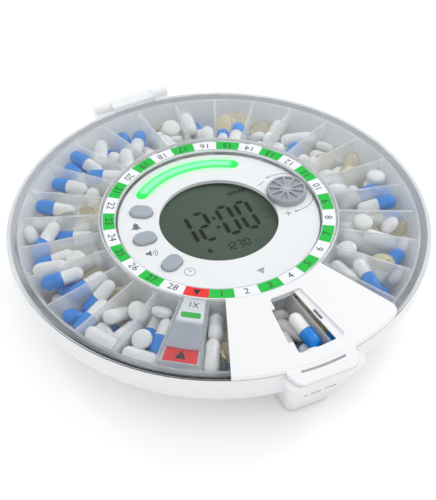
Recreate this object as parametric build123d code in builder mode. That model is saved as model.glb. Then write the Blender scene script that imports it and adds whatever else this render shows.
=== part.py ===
from build123d import *
import os
from math import acos, cos, degrees, pi, radians, sin, tan

# Automatic pill dispenser: a round base with a motor-driven 29-place tray, a
# control hub in the middle and a clear hinged lid with one dispensing opening.
# Millimetres. The tray turns about Z, the floor is Z = 0, the lock faces -Y and
# the lid hinge is at +Y.

os.makedirs("parts", exist_ok=True)

# ------------------------------------------------------------------ clearances
GAP = 0.3              # between pieces that move past each other
FIT = 0.05             # radial, between a pin and what turns on it
SEAT = 0.1             # round a piece that is dropped into its place

# ----------------------------------------------------------------------- doses
DOSES = 29             # 28 doses and the home place
FRONT_DOSE = 3         # the place that stands under the dispensing opening
PITCH = 360 / DOSES
TEETH_PER_DOSE = 3     # teeth of the drive ring that pass for one dose

# -------------------------------------------------------------------- base bowl
RIM_R = 110            # outer radius of the rim
RIM_Z = 41.2           # height of the rim
RIM_LIP = 2.2          # straight part below the rim
WALL = 2.2             # wall of the mouldings
BOWL_ARC_R = 27        # radius of the bowl's side in section
BOWL_TURN = 60         # degrees that the side turns before it runs to the foot
FOOT_R = 75            # radius of the flat underside
UNDERSIDE_Z = 2        # height of the underside above the floor
FOOT_PAD_R = 6         # rubber feet
FOOT_PAD_SINK = 0.5
FOOT_PAD_PLACE_R = 65

# ---------------------------------------------------------------- deck and hub
DECK_Z = 16.5          # top of the channel floor
DECK_T = 2
HUB_R = 52.6           # outer radius of the hub wall
RAIL_H = 1.2           # rails that the tray slides on
RAIL_W = 1.6
RAIL_RADII = (68, 86)
CASE_SCREW_R = 1.45
CASE_BOSS_R = 4
CASE_SCREW_PLACE_R = 62
CASE_SCREW_START = 45
CASE_SCREW_SINK = 0.8  # heads below the underside
CASE_HEAD_T = 2

# ------------------------------------------------------------------------ tray
TRAY_Z = 18            # underside of the tray floor
TRAY_FLOOR_T = 1.5
TRAY_WALL_T = 1.4
TRAY_IN_R = 62.6       # where the dose places start
TRAY_FOOT_R = 94.4     # outer wall at the floor
TRAY_TOP_R = 104.4     # outer wall at the top
DIVIDER_T = 1.2

# ------------------------------------------------------------------- dose ring
RING_IN_R = 53.5
RING_OUT_R = 60.5
RING_TOP_Z = 46
RING_T = 1.4
TAB_OUT_R = 91         # end of the frosted tab over the home place
TAB_IN_W = 10.4
TAB_OUT_W = 16.6
TAB_T = 0.8

# ------------------------------------------------------------------------- lid
LID_HOLE_R = 61.8      # opening round the dose ring
LID_TOP_Z = 47.2       # top at the inner edge
LID_SLOPE = 5.1        # degrees that the top falls towards the rim
LID_T = 2
LID_EDGE_IN = 0.3      # rim of the lid inside the rim of the base
LID_STACK = 2.8        # depth of the white panel with its door
PANEL_LEFT = -113.3    # sides of the white panel, degrees
PANEL_RIGHT = -62
PANEL_CORNER_R = 6

# ------------------------------------------------------------ dispensing door
MOUTH_LEFT = -94.4     # opening in the top skin, degrees
MOUTH_RIGHT = -79.7
MOUTH_IN_R = 66.2
MOUTH_OUT_R = 101.6
MOUTH_CORNER_R = 1.6
STEP_LEFT = -95.9      # the mouth's left side steps out between two radii
STEP_IN_R = 72.6
STEP_OUT_R = 94.2
STEP_CORNER_R = 0.5
DOOR_EDGE = -82.4      # front edge of the door when it stands open, degrees
DOOR_SPAN = 17.2       # degrees
DOOR_TRAVEL = 13.8     # degrees
DOOR_T = 0.9
DOOR_GAP = 0.15
DOOR_LAP = 1.5         # how far the door reaches past the mouth
SKIN_T = 1.1
NOTCH_W = 7            # finger notch of the door
NOTCH_L = 1.7

# ----------------------------------------------------------------------- hinge
HINGE_Y = 114.2
HINGE_Z = 42
KNUCKLE_R = 3.2
HINGE_PIN_R = 1.5
KNUCKLE_HALF = 12.6    # half width of the lid's knuckle
EAR_W = 9.2            # width of each ear of the base

# --------------------------------------------------------------- lock and nose
NOSE_TOP_Z = 39
NOSE_BOTTOM_Z = 0.8
NOSE_TOP_W = 42
NOSE_BOTTOM_W = 23
NOSE_FOOT_Y = 100      # how far the nose stands out at its foot
NOSE_BACK = 22         # how far it reaches back into the bowl
NOSE_CORNER_R = 4
NOSE_WALL = 1.2
LATCH_TAB_W = 37       # tab of the lid over the nose, at its root
LATCH_TAB_FRONT_W = 31
LATCH_TAB_CORNER_R = 5
SLOT_R = 111.5         # curved slot in the tab
SLOT_W = 1.3
SLOT_L = 24
HOOK_T = 1.1           # catch hook under the tab
HOOK_W = 14
HOOK_BARB = 0.9
HOOK_BARB_H = 1.5
HOOK_Z = 34.5
LEVER_T = 1.2          # lock lever
LEVER_W = 16
LEVER_PIN_Z = 8
LEVER_PIN_R = 1.2
LEVER_TOP_Z = 38.2
LEVER_BARB = 0.8
POCKET_W = 22
POCKET_DEPTH = 7.2
KEY_SLIT_Z = 21.5
KEY_SLIT_W = 18
KEY_SLIT_H = 1.6
KEY_WARD_W = 1.6       # two wards that stand in the slit

# ---------------------------------------------------------------- control panel
PANEL_TOP_Z = 43.4
PANEL_T = 2.2
DISPLAY_R = 31.1
LCD_R = 33
WINDOW_T = 1
BUTTON_R = 40.7        # distance of the buttons from the axis
BUTTON_ANGLES = (("alarm_button", 146.7), ("volume_button", 175.8), ("clock_button", 208.5))
BUTTON_L = 12
BUTTON_W = 8.6
BUTTON_PROUD = 2
BUTTON_TRAVEL = 0.7
BUTTON_FLANGE = 0.8
DIAL_ANGLE = 2.8
DIAL_PLACE_R = 40.95
DIAL_R = 10.6
DIAL_H = 3.6
DIAL_STEM_R = 3
DIAL_SPOKES = 10
DIAL_HUB_R = 3.4       # where the sunk sectors start
DIAL_RIM = 1.5         # standing rim of the dial
DIAL_SUNK = 0.9
DIAL_EDGE = 1.2        # rounding of the dial's top edge
ENCODER_SIDE = 11
LIGHT_R = 44.8         # middle of the light bar
LIGHT_W = 6
LIGHT_START = 54
LIGHT_END = 129
LIGHT_PROUD = 0.4

# ------------------------------------------------------------------ inner parts
BOARD_T = 1.6
BOARD_R = 46.6
BOARD_TOP_Z = 37.6
LUG_ANGLES = (30, 161, 235, 305)
LUG_R = 4
LUG_T = 2.5
POST_R = 2.6
SMALL_SCREW_R = 1.1
SCREW_HEAD_T = 1.4
BOARD_SCREW_ANGLES = (92, -60, -140)
BOARD_SCREW_PLACE_R = 36.6
SWITCH_SIDE = 6
SWITCH_H = 1.7
LED_ANGLES = (60, 76, 92, 108, 122)
LED_W = 2.2
LED_L = 3.2
LED_H = 1.4
LIGHT_FLANGE = 0.7     # foot of the light guide, wider than its window
LIGHT_FLANGE_T = 1
BUZZER_R = 11
BUZZER_H = 6
BUZZER_SPOT = (-11, -10)
CELL_R = 7.1           # AA cell
CELL_L = 50.2
CELL_TIP_R = 2.7
CELL_TIP_L = 1
CELL_PITCH = 15
CELL_COUNT = 4
CELL_END_ROOM = 1.9
BAY_WALL = 1.2
CONTACT_SIDE = 11
CONTACT_T = 0.4
TONGUE_W = 7           # tongues of the battery door
TONGUE_L = 1.5         # reach of a tongue over the edge of the opening
TONGUE_ROOT_L = 4
DOOR_GROOVE_W = 18     # finger groove of the battery door
DOOR_GROOVE_H = 6
TONGUE_T = 1
GEAR_MODULE = 4 / 3
GEAR_TEETH = 27
PRESSURE_ANGLE = radians(20)
BACKLASH = 0.35
GEAR_ANGLE = 90        # side of the hub where the drive gear sits, degrees
GEAR_Z = 22.4
GEAR_H = 5
MOTOR_R = 8.4
MOTOR_H = 13
MOTOR_SHAFT_R = 1.5
MOTOR_COLLAR_R = 3.5
MOTOR_EAR_W = 7
MOTOR_EAR_T = 0.8
WASHER_T = 0.8         # room between the bracket and the drive gear
BRACKET_T = 1.4
MOTOR_SCREW_HALF = 14.5

# ------------------------------------------------------------- derived lengths
HUB_IN_R = HUB_R - WALL
LUG_PLACE_R = HUB_IN_R - LUG_R + 0.6
PANEL_UNDER_Z = PANEL_TOP_Z - PANEL_T
RING_Z = RING_TOP_Z - RING_T
LID_EDGE_R = RIM_R - LID_EDGE_IN
LID_EDGE_Z = RIM_Z + GAP
TAB_REACH = HINGE_Y + KNUCKLE_R
LID_NEST_R = RIM_R - WALL - GAP
BOWL_MID_R = RIM_R - BOWL_ARC_R
BOWL_MID_Z = RIM_Z - RIM_LIP
BOARD_Z = BOARD_TOP_Z - BOARD_T
SHELF_IN_R = HUB_R + 4 * GAP
SHELF_T = 1.4
TRAY_TOP_GAP = LID_STACK + GAP
FLOOR_TOP_Z = TRAY_Z + TRAY_FLOOR_T
TRAY_WALL_IN_R = TRAY_IN_R - TRAY_WALL_T
INNER_UNDER_Z = UNDERSIDE_Z + WALL
CELL_Z = INNER_UNDER_Z + CELL_R + 0.8
BAY_HALF_X = CELL_PITCH * CELL_COUNT / 2 + 1
BAY_HALF_Y = CELL_L / 2 + CELL_END_ROOM
BAY_TOP_Z = CELL_Z + CELL_R + 0.4
RING_TEETH = DOSES * TEETH_PER_DOSE
RING_PITCH_R = RING_TEETH * GEAR_MODULE / 2
GEAR_PITCH_R = GEAR_TEETH * GEAR_MODULE / 2
GEAR_PLACE_R = RING_PITCH_R - GEAR_PITCH_R
BRACKET_Z = GEAR_Z - BRACKET_T - WASHER_T
CASE_HEAD_Z = UNDERSIDE_Z + CASE_SCREW_SINK


def dose_angle(place):
    """Direction of a place of the tray in degrees; place 0 is the home place."""
    return -90 + (place - FRONT_DOSE) * PITCH


def lid_z(radius):
    """Height of the lid's top surface, a shallow cone."""
    return LID_TOP_Z - (radius - LID_HOLE_R) * tan(radians(LID_SLOPE))


def tray_top_z(radius):
    """Height up to which the tray may reach under the lid."""
    return lid_z(radius) - TRAY_TOP_GAP


def tray_outer_r(z):
    """Outer face of the tray's slanted outer wall."""
    top_z = tray_top_z(TRAY_TOP_R)
    return TRAY_FOOT_R + (TRAY_TOP_R - TRAY_FOOT_R) * (z - TRAY_Z) / (top_z - TRAY_Z)


def bowl_inner_r(z):
    """Inner face of the bowl between its foot and its curved side."""
    knee_r = BOWL_MID_R + (BOWL_ARC_R - WALL) * cos(radians(BOWL_TURN))
    knee_z = BOWL_MID_Z - (BOWL_ARC_R - WALL) * sin(radians(BOWL_TURN))
    foot_r = FOOT_R - WALL / 2
    return foot_r + (knee_r - foot_r) * (z - INNER_UNDER_Z) / (knee_z - INNER_UNDER_Z)


def nose_front_y(z):
    """Front face of the lock nose, a plane that leans out towards the top."""
    rise = (z - NOSE_BOTTOM_Z) / (NOSE_TOP_Z - NOSE_BOTTOM_Z)
    return -(NOSE_FOOT_Y + (TAB_REACH - NOSE_FOOT_Y) * rise)


def polar(radius, angle, z=0):
    return (radius * cos(radians(angle)), radius * sin(radians(angle)), z)


def radial_plane(angle):
    """Upright plane through the axis: local X runs outwards, local Y runs up."""
    turn = radians(angle)
    return Plane(origin=(0, 0, 0), x_dir=(cos(turn), sin(turn), 0), z_dir=(sin(turn), -cos(turn), 0))


def turned(corners, start=0, arc=360, mode=Mode.ADD):
    """Turn an outline of (radius, height) corners about the axis."""
    with BuildSketch(radial_plane(start)) as outline:
        with BuildLine():
            Polyline(*corners, close=True)
        make_face()
    revolve(outline.sketch, axis=Axis.Z, revolution_arc=arc, mode=mode)


def cone_slab(inner_r, outer_r, top_drop, thickness, start, arc, mode=Mode.ADD):
    """Sector of a slab that follows the lid's slope, top_drop below its top."""
    corners = []
    for radius, drop in (
        (inner_r, top_drop),
        (outer_r, top_drop),
        (outer_r, top_drop + thickness),
        (inner_r, top_drop + thickness),
    ):
        corners.append((radius, lid_z(radius) - drop))
    turned(corners, start, arc, mode)


def sector_outline(inner_r, outer_r, start, end):
    """Flat ring sector between two angles, drawn in the sketch in use."""
    with BuildLine() as edge:
        CenterArc((0, 0), inner_r, start, end - start)
        CenterArc((0, 0), outer_r, start, end - start)
        Line(polar(inner_r, start)[:2], polar(outer_r, start)[:2])
        Line(polar(inner_r, end)[:2], polar(outer_r, end)[:2])
    make_face(edge.edges())


def finish(part, name):
    part.label = name
    export_step(part, f"parts/{name}.step")


# ------------------------------------------------------------------- base_bowl
def bowl_line(inset):
    """Half outline of the bowl from the rim to the axis, moved in by inset."""
    foot_r = FOOT_R - inset / 2
    foot_z = UNDERSIDE_Z + inset
    rim_r = RIM_R - inset
    side = CenterArc((BOWL_MID_R, BOWL_MID_Z), BOWL_ARC_R - inset, 0, -BOWL_TURN)
    Line((rim_r, RIM_Z), side @ 0)
    Polyline(side @ 1, (foot_r, foot_z), (0, foot_z))
    Polyline((0, foot_z), (0, RIM_Z), (rim_r, RIM_Z))


POCKET_BOTTOM_Z = LEVER_PIN_Z - LEVER_PIN_R - 2
POCKET_FOOT_EXTRA = 2  # the pocket is deeper at its foot


def pocket_back_y(z):
    """Back face of the lever's pocket."""
    drop = (NOSE_TOP_Z - z) / (NOSE_TOP_Z - POCKET_BOTTOM_Z)
    return nose_front_y(z) + NOSE_WALL + POCKET_DEPTH + POCKET_FOOT_EXTRA * drop


LEVER_PIN_Y = nose_front_y(LEVER_PIN_Z) + 6.5

with BuildPart() as base_bowl:
    with BuildSketch(Plane.XZ):
        with BuildLine():
            bowl_line(0)
        make_face()
    revolve(axis=Axis.Z)
    # lock nose, which leans out from the foot to the lid's tab
    for z, width in ((NOSE_BOTTOM_Z, NOSE_BOTTOM_W), (NOSE_TOP_Z, NOSE_TOP_W)):
        with BuildSketch(Plane.XY.offset(z)):
            with Locations((0, nose_front_y(z) + NOSE_BACK / 2)):
                RectangleRounded(width, NOSE_BACK, NOSE_CORNER_R)
    loft()
    # hinge ears with the web that carries them
    for side in (-1, 1):
        with BuildSketch(Plane.YZ.offset(side * (KNUCKLE_HALF + GAP + EAR_W / 2))):
            with Locations((HINGE_Y, HINGE_Z)):
                Circle(KNUCKLE_R)
            with BuildLine():
                Polyline(
                    (HINGE_Y + KNUCKLE_R, HINGE_Z),
                    (HINGE_Y + KNUCKLE_R, HINGE_Z - KNUCKLE_R),
                    (RIM_R - WALL / 2, BOWL_MID_Z - KNUCKLE_R * 2.5),
                    (RIM_R - WALL, RIM_Z),
                    (HINGE_Y - KNUCKLE_R + GAP, RIM_Z),
                    (HINGE_Y - KNUCKLE_R, HINGE_Z),
                    close=True,
                )
            make_face()
        extrude(amount=EAR_W / 2, both=True)
    # hollow of the bowl
    with BuildSketch(Plane.XZ):
        with BuildLine():
            bowl_line(WALL)
        make_face()
    revolve(axis=Axis.Z, mode=Mode.SUBTRACT)
    # pocket of the lock lever, open at the top
    with BuildSketch(Plane.YZ):
        with BuildLine():
            Polyline(
                (nose_front_y(POCKET_BOTTOM_Z) + NOSE_WALL, POCKET_BOTTOM_Z),
                (nose_front_y(NOSE_TOP_Z) + NOSE_WALL, NOSE_TOP_Z),
                (pocket_back_y(NOSE_TOP_Z), NOSE_TOP_Z),
                (pocket_back_y(POCKET_BOTTOM_Z), POCKET_BOTTOM_Z),
                close=True,
            )
        make_face()
    extrude(amount=POCKET_W / 2, both=True, mode=Mode.SUBTRACT)
    # key slit with its two wards
    with BuildSketch(Plane.XZ):
        with Locations((0, KEY_SLIT_Z)):
            Rectangle(KEY_SLIT_W, KEY_SLIT_H)
        with Locations((-KEY_SLIT_W / 3, KEY_SLIT_Z), (KEY_SLIT_W / 12, KEY_SLIT_Z)):
            Rectangle(KEY_WARD_W, KEY_SLIT_H, mode=Mode.SUBTRACT)
    extrude(amount=TAB_REACH, mode=Mode.SUBTRACT)
    # battery opening
    with BuildSketch(Plane.XY.offset(UNDERSIDE_Z)):
        Rectangle(2 * BAY_HALF_X, 2 * BAY_HALF_Y)
    extrude(amount=WALL, mode=Mode.SUBTRACT)
    # screw bosses of the case and the seats of the feet
    with BuildSketch(Plane.XY.offset(INNER_UNDER_Z)):
        with PolarLocations(CASE_SCREW_PLACE_R, 4, start_angle=CASE_SCREW_START):
            Circle(CASE_BOSS_R + 1)
    extrude(amount=WALL)
    with Locations(Plane.XY.offset(UNDERSIDE_Z) * Rot(180, 0, 0)):
        with PolarLocations(CASE_SCREW_PLACE_R, 4, start_angle=CASE_SCREW_START):
            CounterBoreHole(CASE_SCREW_R + SEAT, 2 * CASE_SCREW_R + SEAT, CASE_SCREW_SINK + CASE_HEAD_T, 2 * WALL)
    with BuildSketch(Plane.XY.offset(UNDERSIDE_Z)):
        with PolarLocations(FOOT_PAD_PLACE_R, 4, start_angle=0):
            Circle(FOOT_PAD_R + SEAT)
    extrude(amount=FOOT_PAD_SINK, mode=Mode.SUBTRACT)
    # bores of the hinge pin and of the lever pin
    with BuildSketch(Plane.YZ):
        with Locations((HINGE_Y, HINGE_Z)):
            Circle(HINGE_PIN_R)
    extrude(amount=KNUCKLE_HALF + GAP + EAR_W, both=True, mode=Mode.SUBTRACT)
    with BuildSketch(Plane.YZ):
        with Locations((LEVER_PIN_Y, LEVER_PIN_Z)):
            Circle(LEVER_PIN_R)
    extrude(amount=POCKET_W / 2 + 1.5, both=True, mode=Mode.SUBTRACT)
finish(base_bowl.part, "base_bowl")

# ----------------------------------------------------------------- rubber_feet
with BuildPart() as rubber_feet:
    with BuildSketch():
        with PolarLocations(FOOT_PAD_PLACE_R, 4, start_angle=0):
            Circle(FOOT_PAD_R)
    extrude(amount=UNDERSIDE_Z + FOOT_PAD_SINK)
    chamfer(rubber_feet.edges().group_by(Axis.Z)[0], FOOT_PAD_SINK)
finish(rubber_feet.part, "rubber_feet")

# ------------------------------------------------------------------- tray_deck
DECK_R = bowl_inner_r(DECK_Z - DECK_T) - GAP
CASE_BOSS_Z = INNER_UNDER_Z + WALL
LUG_TOP_Z = BOARD_Z - LUG_T / 2

with BuildPart() as tray_deck:
    turned(((HUB_IN_R, DECK_Z - DECK_T), (DECK_R, DECK_Z - DECK_T), (DECK_R, DECK_Z), (HUB_IN_R, DECK_Z)))
    turned(((HUB_IN_R, DECK_Z), (HUB_R, DECK_Z), (HUB_R, PANEL_UNDER_Z), (HUB_IN_R, PANEL_UNDER_Z)))
    for radius in RAIL_RADII:
        rail = (
            (radius - RAIL_W / 2, DECK_Z),
            (radius + RAIL_W / 2, DECK_Z),
            (radius + RAIL_W / 2, DECK_Z + RAIL_H),
            (radius - RAIL_W / 2, DECK_Z + RAIL_H),
        )
        turned(rail)
    # bosses that stand on the bowl
    with BuildSketch(Plane.XY.offset(CASE_BOSS_Z)):
        with PolarLocations(CASE_SCREW_PLACE_R, 4, start_angle=CASE_SCREW_START):
            Circle(CASE_BOSS_R)
    extrude(amount=DECK_Z - DECK_T - CASE_BOSS_Z)
    with BuildSketch(Plane.XY.offset(CASE_BOSS_Z)):
        with PolarLocations(CASE_SCREW_PLACE_R, 4, start_angle=CASE_SCREW_START):
            Circle(CASE_SCREW_R + FIT)
    extrude(amount=DECK_Z - DECK_T - CASE_BOSS_Z, mode=Mode.SUBTRACT)
    # lugs on the hub wall that the control panel is screwed to
    for angle in LUG_ANGLES:
        with BuildSketch(Plane.XY.offset(LUG_TOP_Z - LUG_T)):
            with Locations(polar(LUG_PLACE_R, angle)[:2]):
                Circle(LUG_R)
                Circle(SMALL_SCREW_R + SEAT, mode=Mode.SUBTRACT)
        extrude(amount=LUG_T)
    # posts of the motor bracket
    with BuildSketch(Plane.XY.offset(DECK_Z - DECK_T)):
        with PolarLocations(HUB_IN_R - 2, 2, start_angle=GEAR_ANGLE - 30, angular_range=120):
            Circle(POST_R + 0.6)
    extrude(amount=BRACKET_Z - DECK_Z + DECK_T)
    # window for the drive gear
    with BuildSketch(Plane.XY.offset(GEAR_Z - 0.8)):
        with Locations(polar(GEAR_PLACE_R, GEAR_ANGLE)[:2]):
            Circle(GEAR_PITCH_R + GEAR_MODULE + 1)
    extrude(amount=GEAR_H + 1.6, mode=Mode.SUBTRACT)
finish(tray_deck.part, "tray_deck")

# ----------------------------------------------------------------- case_screws
with BuildPart() as case_screws:
    with BuildSketch(Plane.XY.offset(CASE_HEAD_Z)):
        with PolarLocations(CASE_SCREW_PLACE_R, 4, start_angle=CASE_SCREW_START):
            Circle(2 * CASE_SCREW_R)
    extrude(amount=CASE_HEAD_T)
    with BuildSketch(Plane.XY.offset(CASE_HEAD_Z)):
        with PolarLocations(CASE_SCREW_PLACE_R, 4, start_angle=CASE_SCREW_START):
            Circle(CASE_SCREW_R)
    extrude(amount=DECK_Z - DECK_T - CASE_HEAD_Z - 1)
finish(case_screws.part, "case_screws")

# ------------------------------------------------------------------- tray parts
with BuildPart() as tray_floor:
    turned(
        (
            (TRAY_WALL_IN_R, TRAY_Z),
            (tray_outer_r(TRAY_Z) - TRAY_WALL_T, TRAY_Z),
            (tray_outer_r(FLOOR_TOP_Z) - TRAY_WALL_T, FLOOR_TOP_Z),
            (TRAY_WALL_IN_R, FLOOR_TOP_Z),
        )
    )
finish(tray_floor.part, "tray_floor")

with BuildPart() as tray_outer_wall:
    top_z = tray_top_z(TRAY_TOP_R)
    turned(
        (
            (tray_outer_r(TRAY_Z) - TRAY_WALL_T, TRAY_Z),
            (tray_outer_r(TRAY_Z), TRAY_Z),
            (TRAY_TOP_R, top_z),
            (TRAY_TOP_R - TRAY_WALL_T, top_z),
        )
    )
finish(tray_outer_wall.part, "tray_outer_wall")

# The inner wall carries a shelf for the dose ring, with a notch for its tab.
TAB_DROP = TRAY_TOP_GAP
TAB_ROOT_R = RING_OUT_R - 2
TAB_ROOT_Z = lid_z(TAB_ROOT_R) - TAB_DROP - TAB_T
TAB_NOTCH_Z = lid_z(TRAY_IN_R) - TAB_DROP - TAB_T - GAP

with BuildPart() as tray_inner_wall:
    turned(
        (
            (TRAY_WALL_IN_R, FLOOR_TOP_Z),
            (TRAY_IN_R, FLOOR_TOP_Z),
            (TRAY_IN_R, tray_top_z(TRAY_IN_R)),
            (RING_OUT_R + GAP, tray_top_z(TRAY_IN_R)),
            (RING_OUT_R + GAP, RING_Z),
            (SHELF_IN_R, RING_Z),
            (SHELF_IN_R, RING_Z - SHELF_T),
            (TRAY_WALL_IN_R, RING_Z - SHELF_T),
        )
    )
    with BuildSketch(Plane.XY.offset(TAB_NOTCH_Z).rotated((0, 0, dose_angle(0)))):
        with Locations(((TAB_ROOT_R + TRAY_IN_R) / 2, 0)):
            Rectangle(TRAY_IN_R - TAB_ROOT_R + 2 * GAP, TAB_IN_W + 2 * GAP)
    extrude(amount=RING_TOP_Z - TAB_NOTCH_Z, mode=Mode.SUBTRACT)
finish(tray_inner_wall.part, "tray_inner_wall")

with BuildPart() as tray_dividers:
    for place in range(DOSES):
        inner_r = TRAY_IN_R + FIT
        outer_r = tray_outer_r(FLOOR_TOP_Z) - TRAY_WALL_T - FIT
        top_r = TRAY_TOP_R - TRAY_WALL_T - FIT
        with BuildSketch(radial_plane(dose_angle(place) + PITCH / 2)):
            with BuildLine():
                Polyline(
                    (inner_r, FLOOR_TOP_Z),
                    (outer_r, FLOOR_TOP_Z),
                    (top_r, tray_top_z(TRAY_TOP_R)),
                    (inner_r, tray_top_z(inner_r)),
                    close=True,
                )
            make_face()
        extrude(amount=DIVIDER_T / 2, both=True)
finish(tray_dividers.part, "tray_dividers")

# ------------------------------------------------------------------ drive train
def flank_angle(teeth, radius, shift):
    """Half angle of an involute tooth at a radius; shift widens or narrows it."""
    pitch_r = teeth * GEAR_MODULE / 2
    base_r = pitch_r * cos(PRESSURE_ANGLE)
    slope = acos(min(1, base_r / radius))
    grown = tan(PRESSURE_ANGLE) - PRESSURE_ANGLE - tan(slope) + slope
    return pi / (2 * teeth) + shift / pitch_r + grown


def toothed_outline(teeth, root_r, flank_r, tip_r, shift, turn):
    """Closed outline of a gear, one tooth centred on the turn angle."""
    points = []
    for tooth in range(teeth):
        middle = radians(turn) + 2 * pi * tooth / teeth
        steps = [flank_r + (tip_r - flank_r) * step / 3 for step in range(4)]
        rising = [(radius, middle - flank_angle(teeth, radius, shift)) for radius in steps]
        falling = [(radius, middle + flank_angle(teeth, radius, shift)) for radius in reversed(steps)]
        if root_r < flank_r:
            rising.insert(0, (root_r, rising[0][1]))
            falling.append((root_r, falling[-1][1]))
        points += [(radius * cos(angle), radius * sin(angle)) for radius, angle in rising + falling]
    return points


with BuildPart() as drive_ring:
    # internal gear under the shelf of the tray; its spaces are involute teeth
    with BuildSketch(Plane.XY.offset(GEAR_Z)):
        Circle(TRAY_WALL_IN_R - FIT)
        with BuildLine():
            spaces = toothed_outline(
                RING_TEETH,
                RING_PITCH_R - 0.8 * GEAR_MODULE,
                RING_PITCH_R - 0.8 * GEAR_MODULE,
                RING_PITCH_R + 1.15 * GEAR_MODULE,
                BACKLASH / 2,
                GEAR_ANGLE,
            )
            Polyline(*spaces, close=True)
        make_face(mode=Mode.SUBTRACT)
    extrude(amount=GEAR_H)
finish(drive_ring.part, "drive_ring")

with BuildPart() as drive_gear:
    with BuildSketch(Plane.XY.offset(GEAR_Z)):
        with BuildLine():
            teeth = toothed_outline(
                GEAR_TEETH,
                GEAR_PITCH_R - 1.2 * GEAR_MODULE,
                GEAR_PITCH_R * cos(PRESSURE_ANGLE),
                GEAR_PITCH_R + 0.8 * GEAR_MODULE,
                0,
                GEAR_ANGLE,
            )
            Polyline(*teeth, close=True)
        make_face()
    extrude(amount=GEAR_H)
    # lightened web and the hub on the motor shaft
    with BuildSketch(Plane.XY.offset(GEAR_Z + GEAR_H)):
        Circle(GEAR_PITCH_R - 2.5 * GEAR_MODULE)
        Circle(4, mode=Mode.SUBTRACT)
    extrude(amount=-GEAR_H * 0.6, mode=Mode.SUBTRACT)
    with BuildSketch(Plane.XY.offset(GEAR_Z)):
        with PolarLocations(GEAR_PITCH_R / 2, 6):
            Circle(2.4)
    extrude(amount=GEAR_H, mode=Mode.SUBTRACT)
    with BuildSketch(Plane.XY.offset(GEAR_Z)):
        Circle(MOTOR_SHAFT_R + FIT)
    extrude(amount=GEAR_H, mode=Mode.SUBTRACT)
    gear_in_place = Pos(*polar(GEAR_PLACE_R, GEAR_ANGLE)) * drive_gear.part
finish(gear_in_place, "drive_gear")

MOTOR_SPOT = polar(GEAR_PLACE_R, GEAR_ANGLE)[:2]
with BuildPart() as drive_motor:
    with BuildSketch(Plane.XY.offset(BRACKET_Z - MOTOR_H)):
        with Locations(MOTOR_SPOT):
            Circle(MOTOR_R)
    extrude(amount=MOTOR_H)
    fillet(drive_motor.edges().group_by(Axis.Z)[0], 1)
    with BuildSketch(Plane.XY.offset(BRACKET_Z - MOTOR_EAR_T)):
        with Locations(MOTOR_SPOT):
            SlotCenterToCenter(2 * MOTOR_SCREW_HALF, MOTOR_EAR_W)
    extrude(amount=MOTOR_EAR_T)
    with BuildSketch(Plane.XY.offset(BRACKET_Z)):
        with Locations(MOTOR_SPOT):
            Circle(MOTOR_COLLAR_R)
    extrude(amount=BRACKET_T)
    with BuildSketch(Plane.XY.offset(BRACKET_Z)):
        with Locations(MOTOR_SPOT):
            Circle(MOTOR_SHAFT_R)
    extrude(amount=GEAR_Z + GEAR_H - BRACKET_Z)
    with BuildSketch(Plane.XY.offset(BRACKET_Z - MOTOR_EAR_T)):
        with Locations(MOTOR_SPOT):
            with Locations((-MOTOR_SCREW_HALF, 0), (MOTOR_SCREW_HALF, 0)):
                Circle(SMALL_SCREW_R + SEAT)
    extrude(amount=MOTOR_EAR_T, mode=Mode.SUBTRACT)
finish(drive_motor.part, "drive_motor")

with BuildPart() as motor_bracket:
    with BuildSketch(Plane.XY.offset(BRACKET_Z)):
        Circle(HUB_IN_R - GAP)
        with Locations((0, -HUB_R - BAY_WALL / 2 + BAY_HALF_Y + 4)):
            Rectangle(2 * HUB_R, 2 * HUB_R, mode=Mode.SUBTRACT)
        with Locations(MOTOR_SPOT):
            Circle(MOTOR_COLLAR_R + SEAT, mode=Mode.SUBTRACT)
            with Locations((-MOTOR_SCREW_HALF, 0), (MOTOR_SCREW_HALF, 0)):
                Circle(SMALL_SCREW_R + SEAT, mode=Mode.SUBTRACT)
    extrude(amount=BRACKET_T)
finish(motor_bracket.part, "motor_bracket")

with BuildPart() as motor_screws:
    with BuildSketch(Plane.XY.offset(BRACKET_Z - MOTOR_EAR_T - SCREW_HEAD_T)):
        with Locations(MOTOR_SPOT):
            with Locations((-MOTOR_SCREW_HALF, 0), (MOTOR_SCREW_HALF, 0)):
                Circle(2 * SMALL_SCREW_R)
    extrude(amount=SCREW_HEAD_T)
    with BuildSketch(Plane.XY.offset(BRACKET_Z - MOTOR_EAR_T)):
        with Locations(MOTOR_SPOT):
            with Locations((-MOTOR_SCREW_HALF, 0), (MOTOR_SCREW_HALF, 0)):
                Circle(SMALL_SCREW_R)
    extrude(amount=MOTOR_EAR_T + BRACKET_T)
finish(motor_screws.part, "motor_screws")

with BuildPart() as index_switch:
    # micro switch whose lever feels the teeth of the drive gear
    gear_tip_r = GEAR_PITCH_R + 0.8 * GEAR_MODULE
    with BuildSketch(Plane.XY.offset(BAY_TOP_Z + BAY_WALL)):
        with Locations(polar(GEAR_PLACE_R - gear_tip_r - 4.6, GEAR_ANGLE)[:2]):
            Rectangle(12, 6)
    extrude(amount=GEAR_H)
    with BuildSketch(Plane.XY.offset(GEAR_Z + 1)):
        with Locations(polar(GEAR_PLACE_R - gear_tip_r - 1, GEAR_ANGLE)[:2]):
            Rectangle(8, 0.6)
        with Locations(polar(GEAR_PLACE_R - gear_tip_r - 1.4, GEAR_ANGLE)[:2]):
            with Locations((3.7, 0)):
                Rectangle(0.6, 1)
    extrude(amount=GEAR_H / 2)
finish(index_switch.part, "index_switch")

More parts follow.
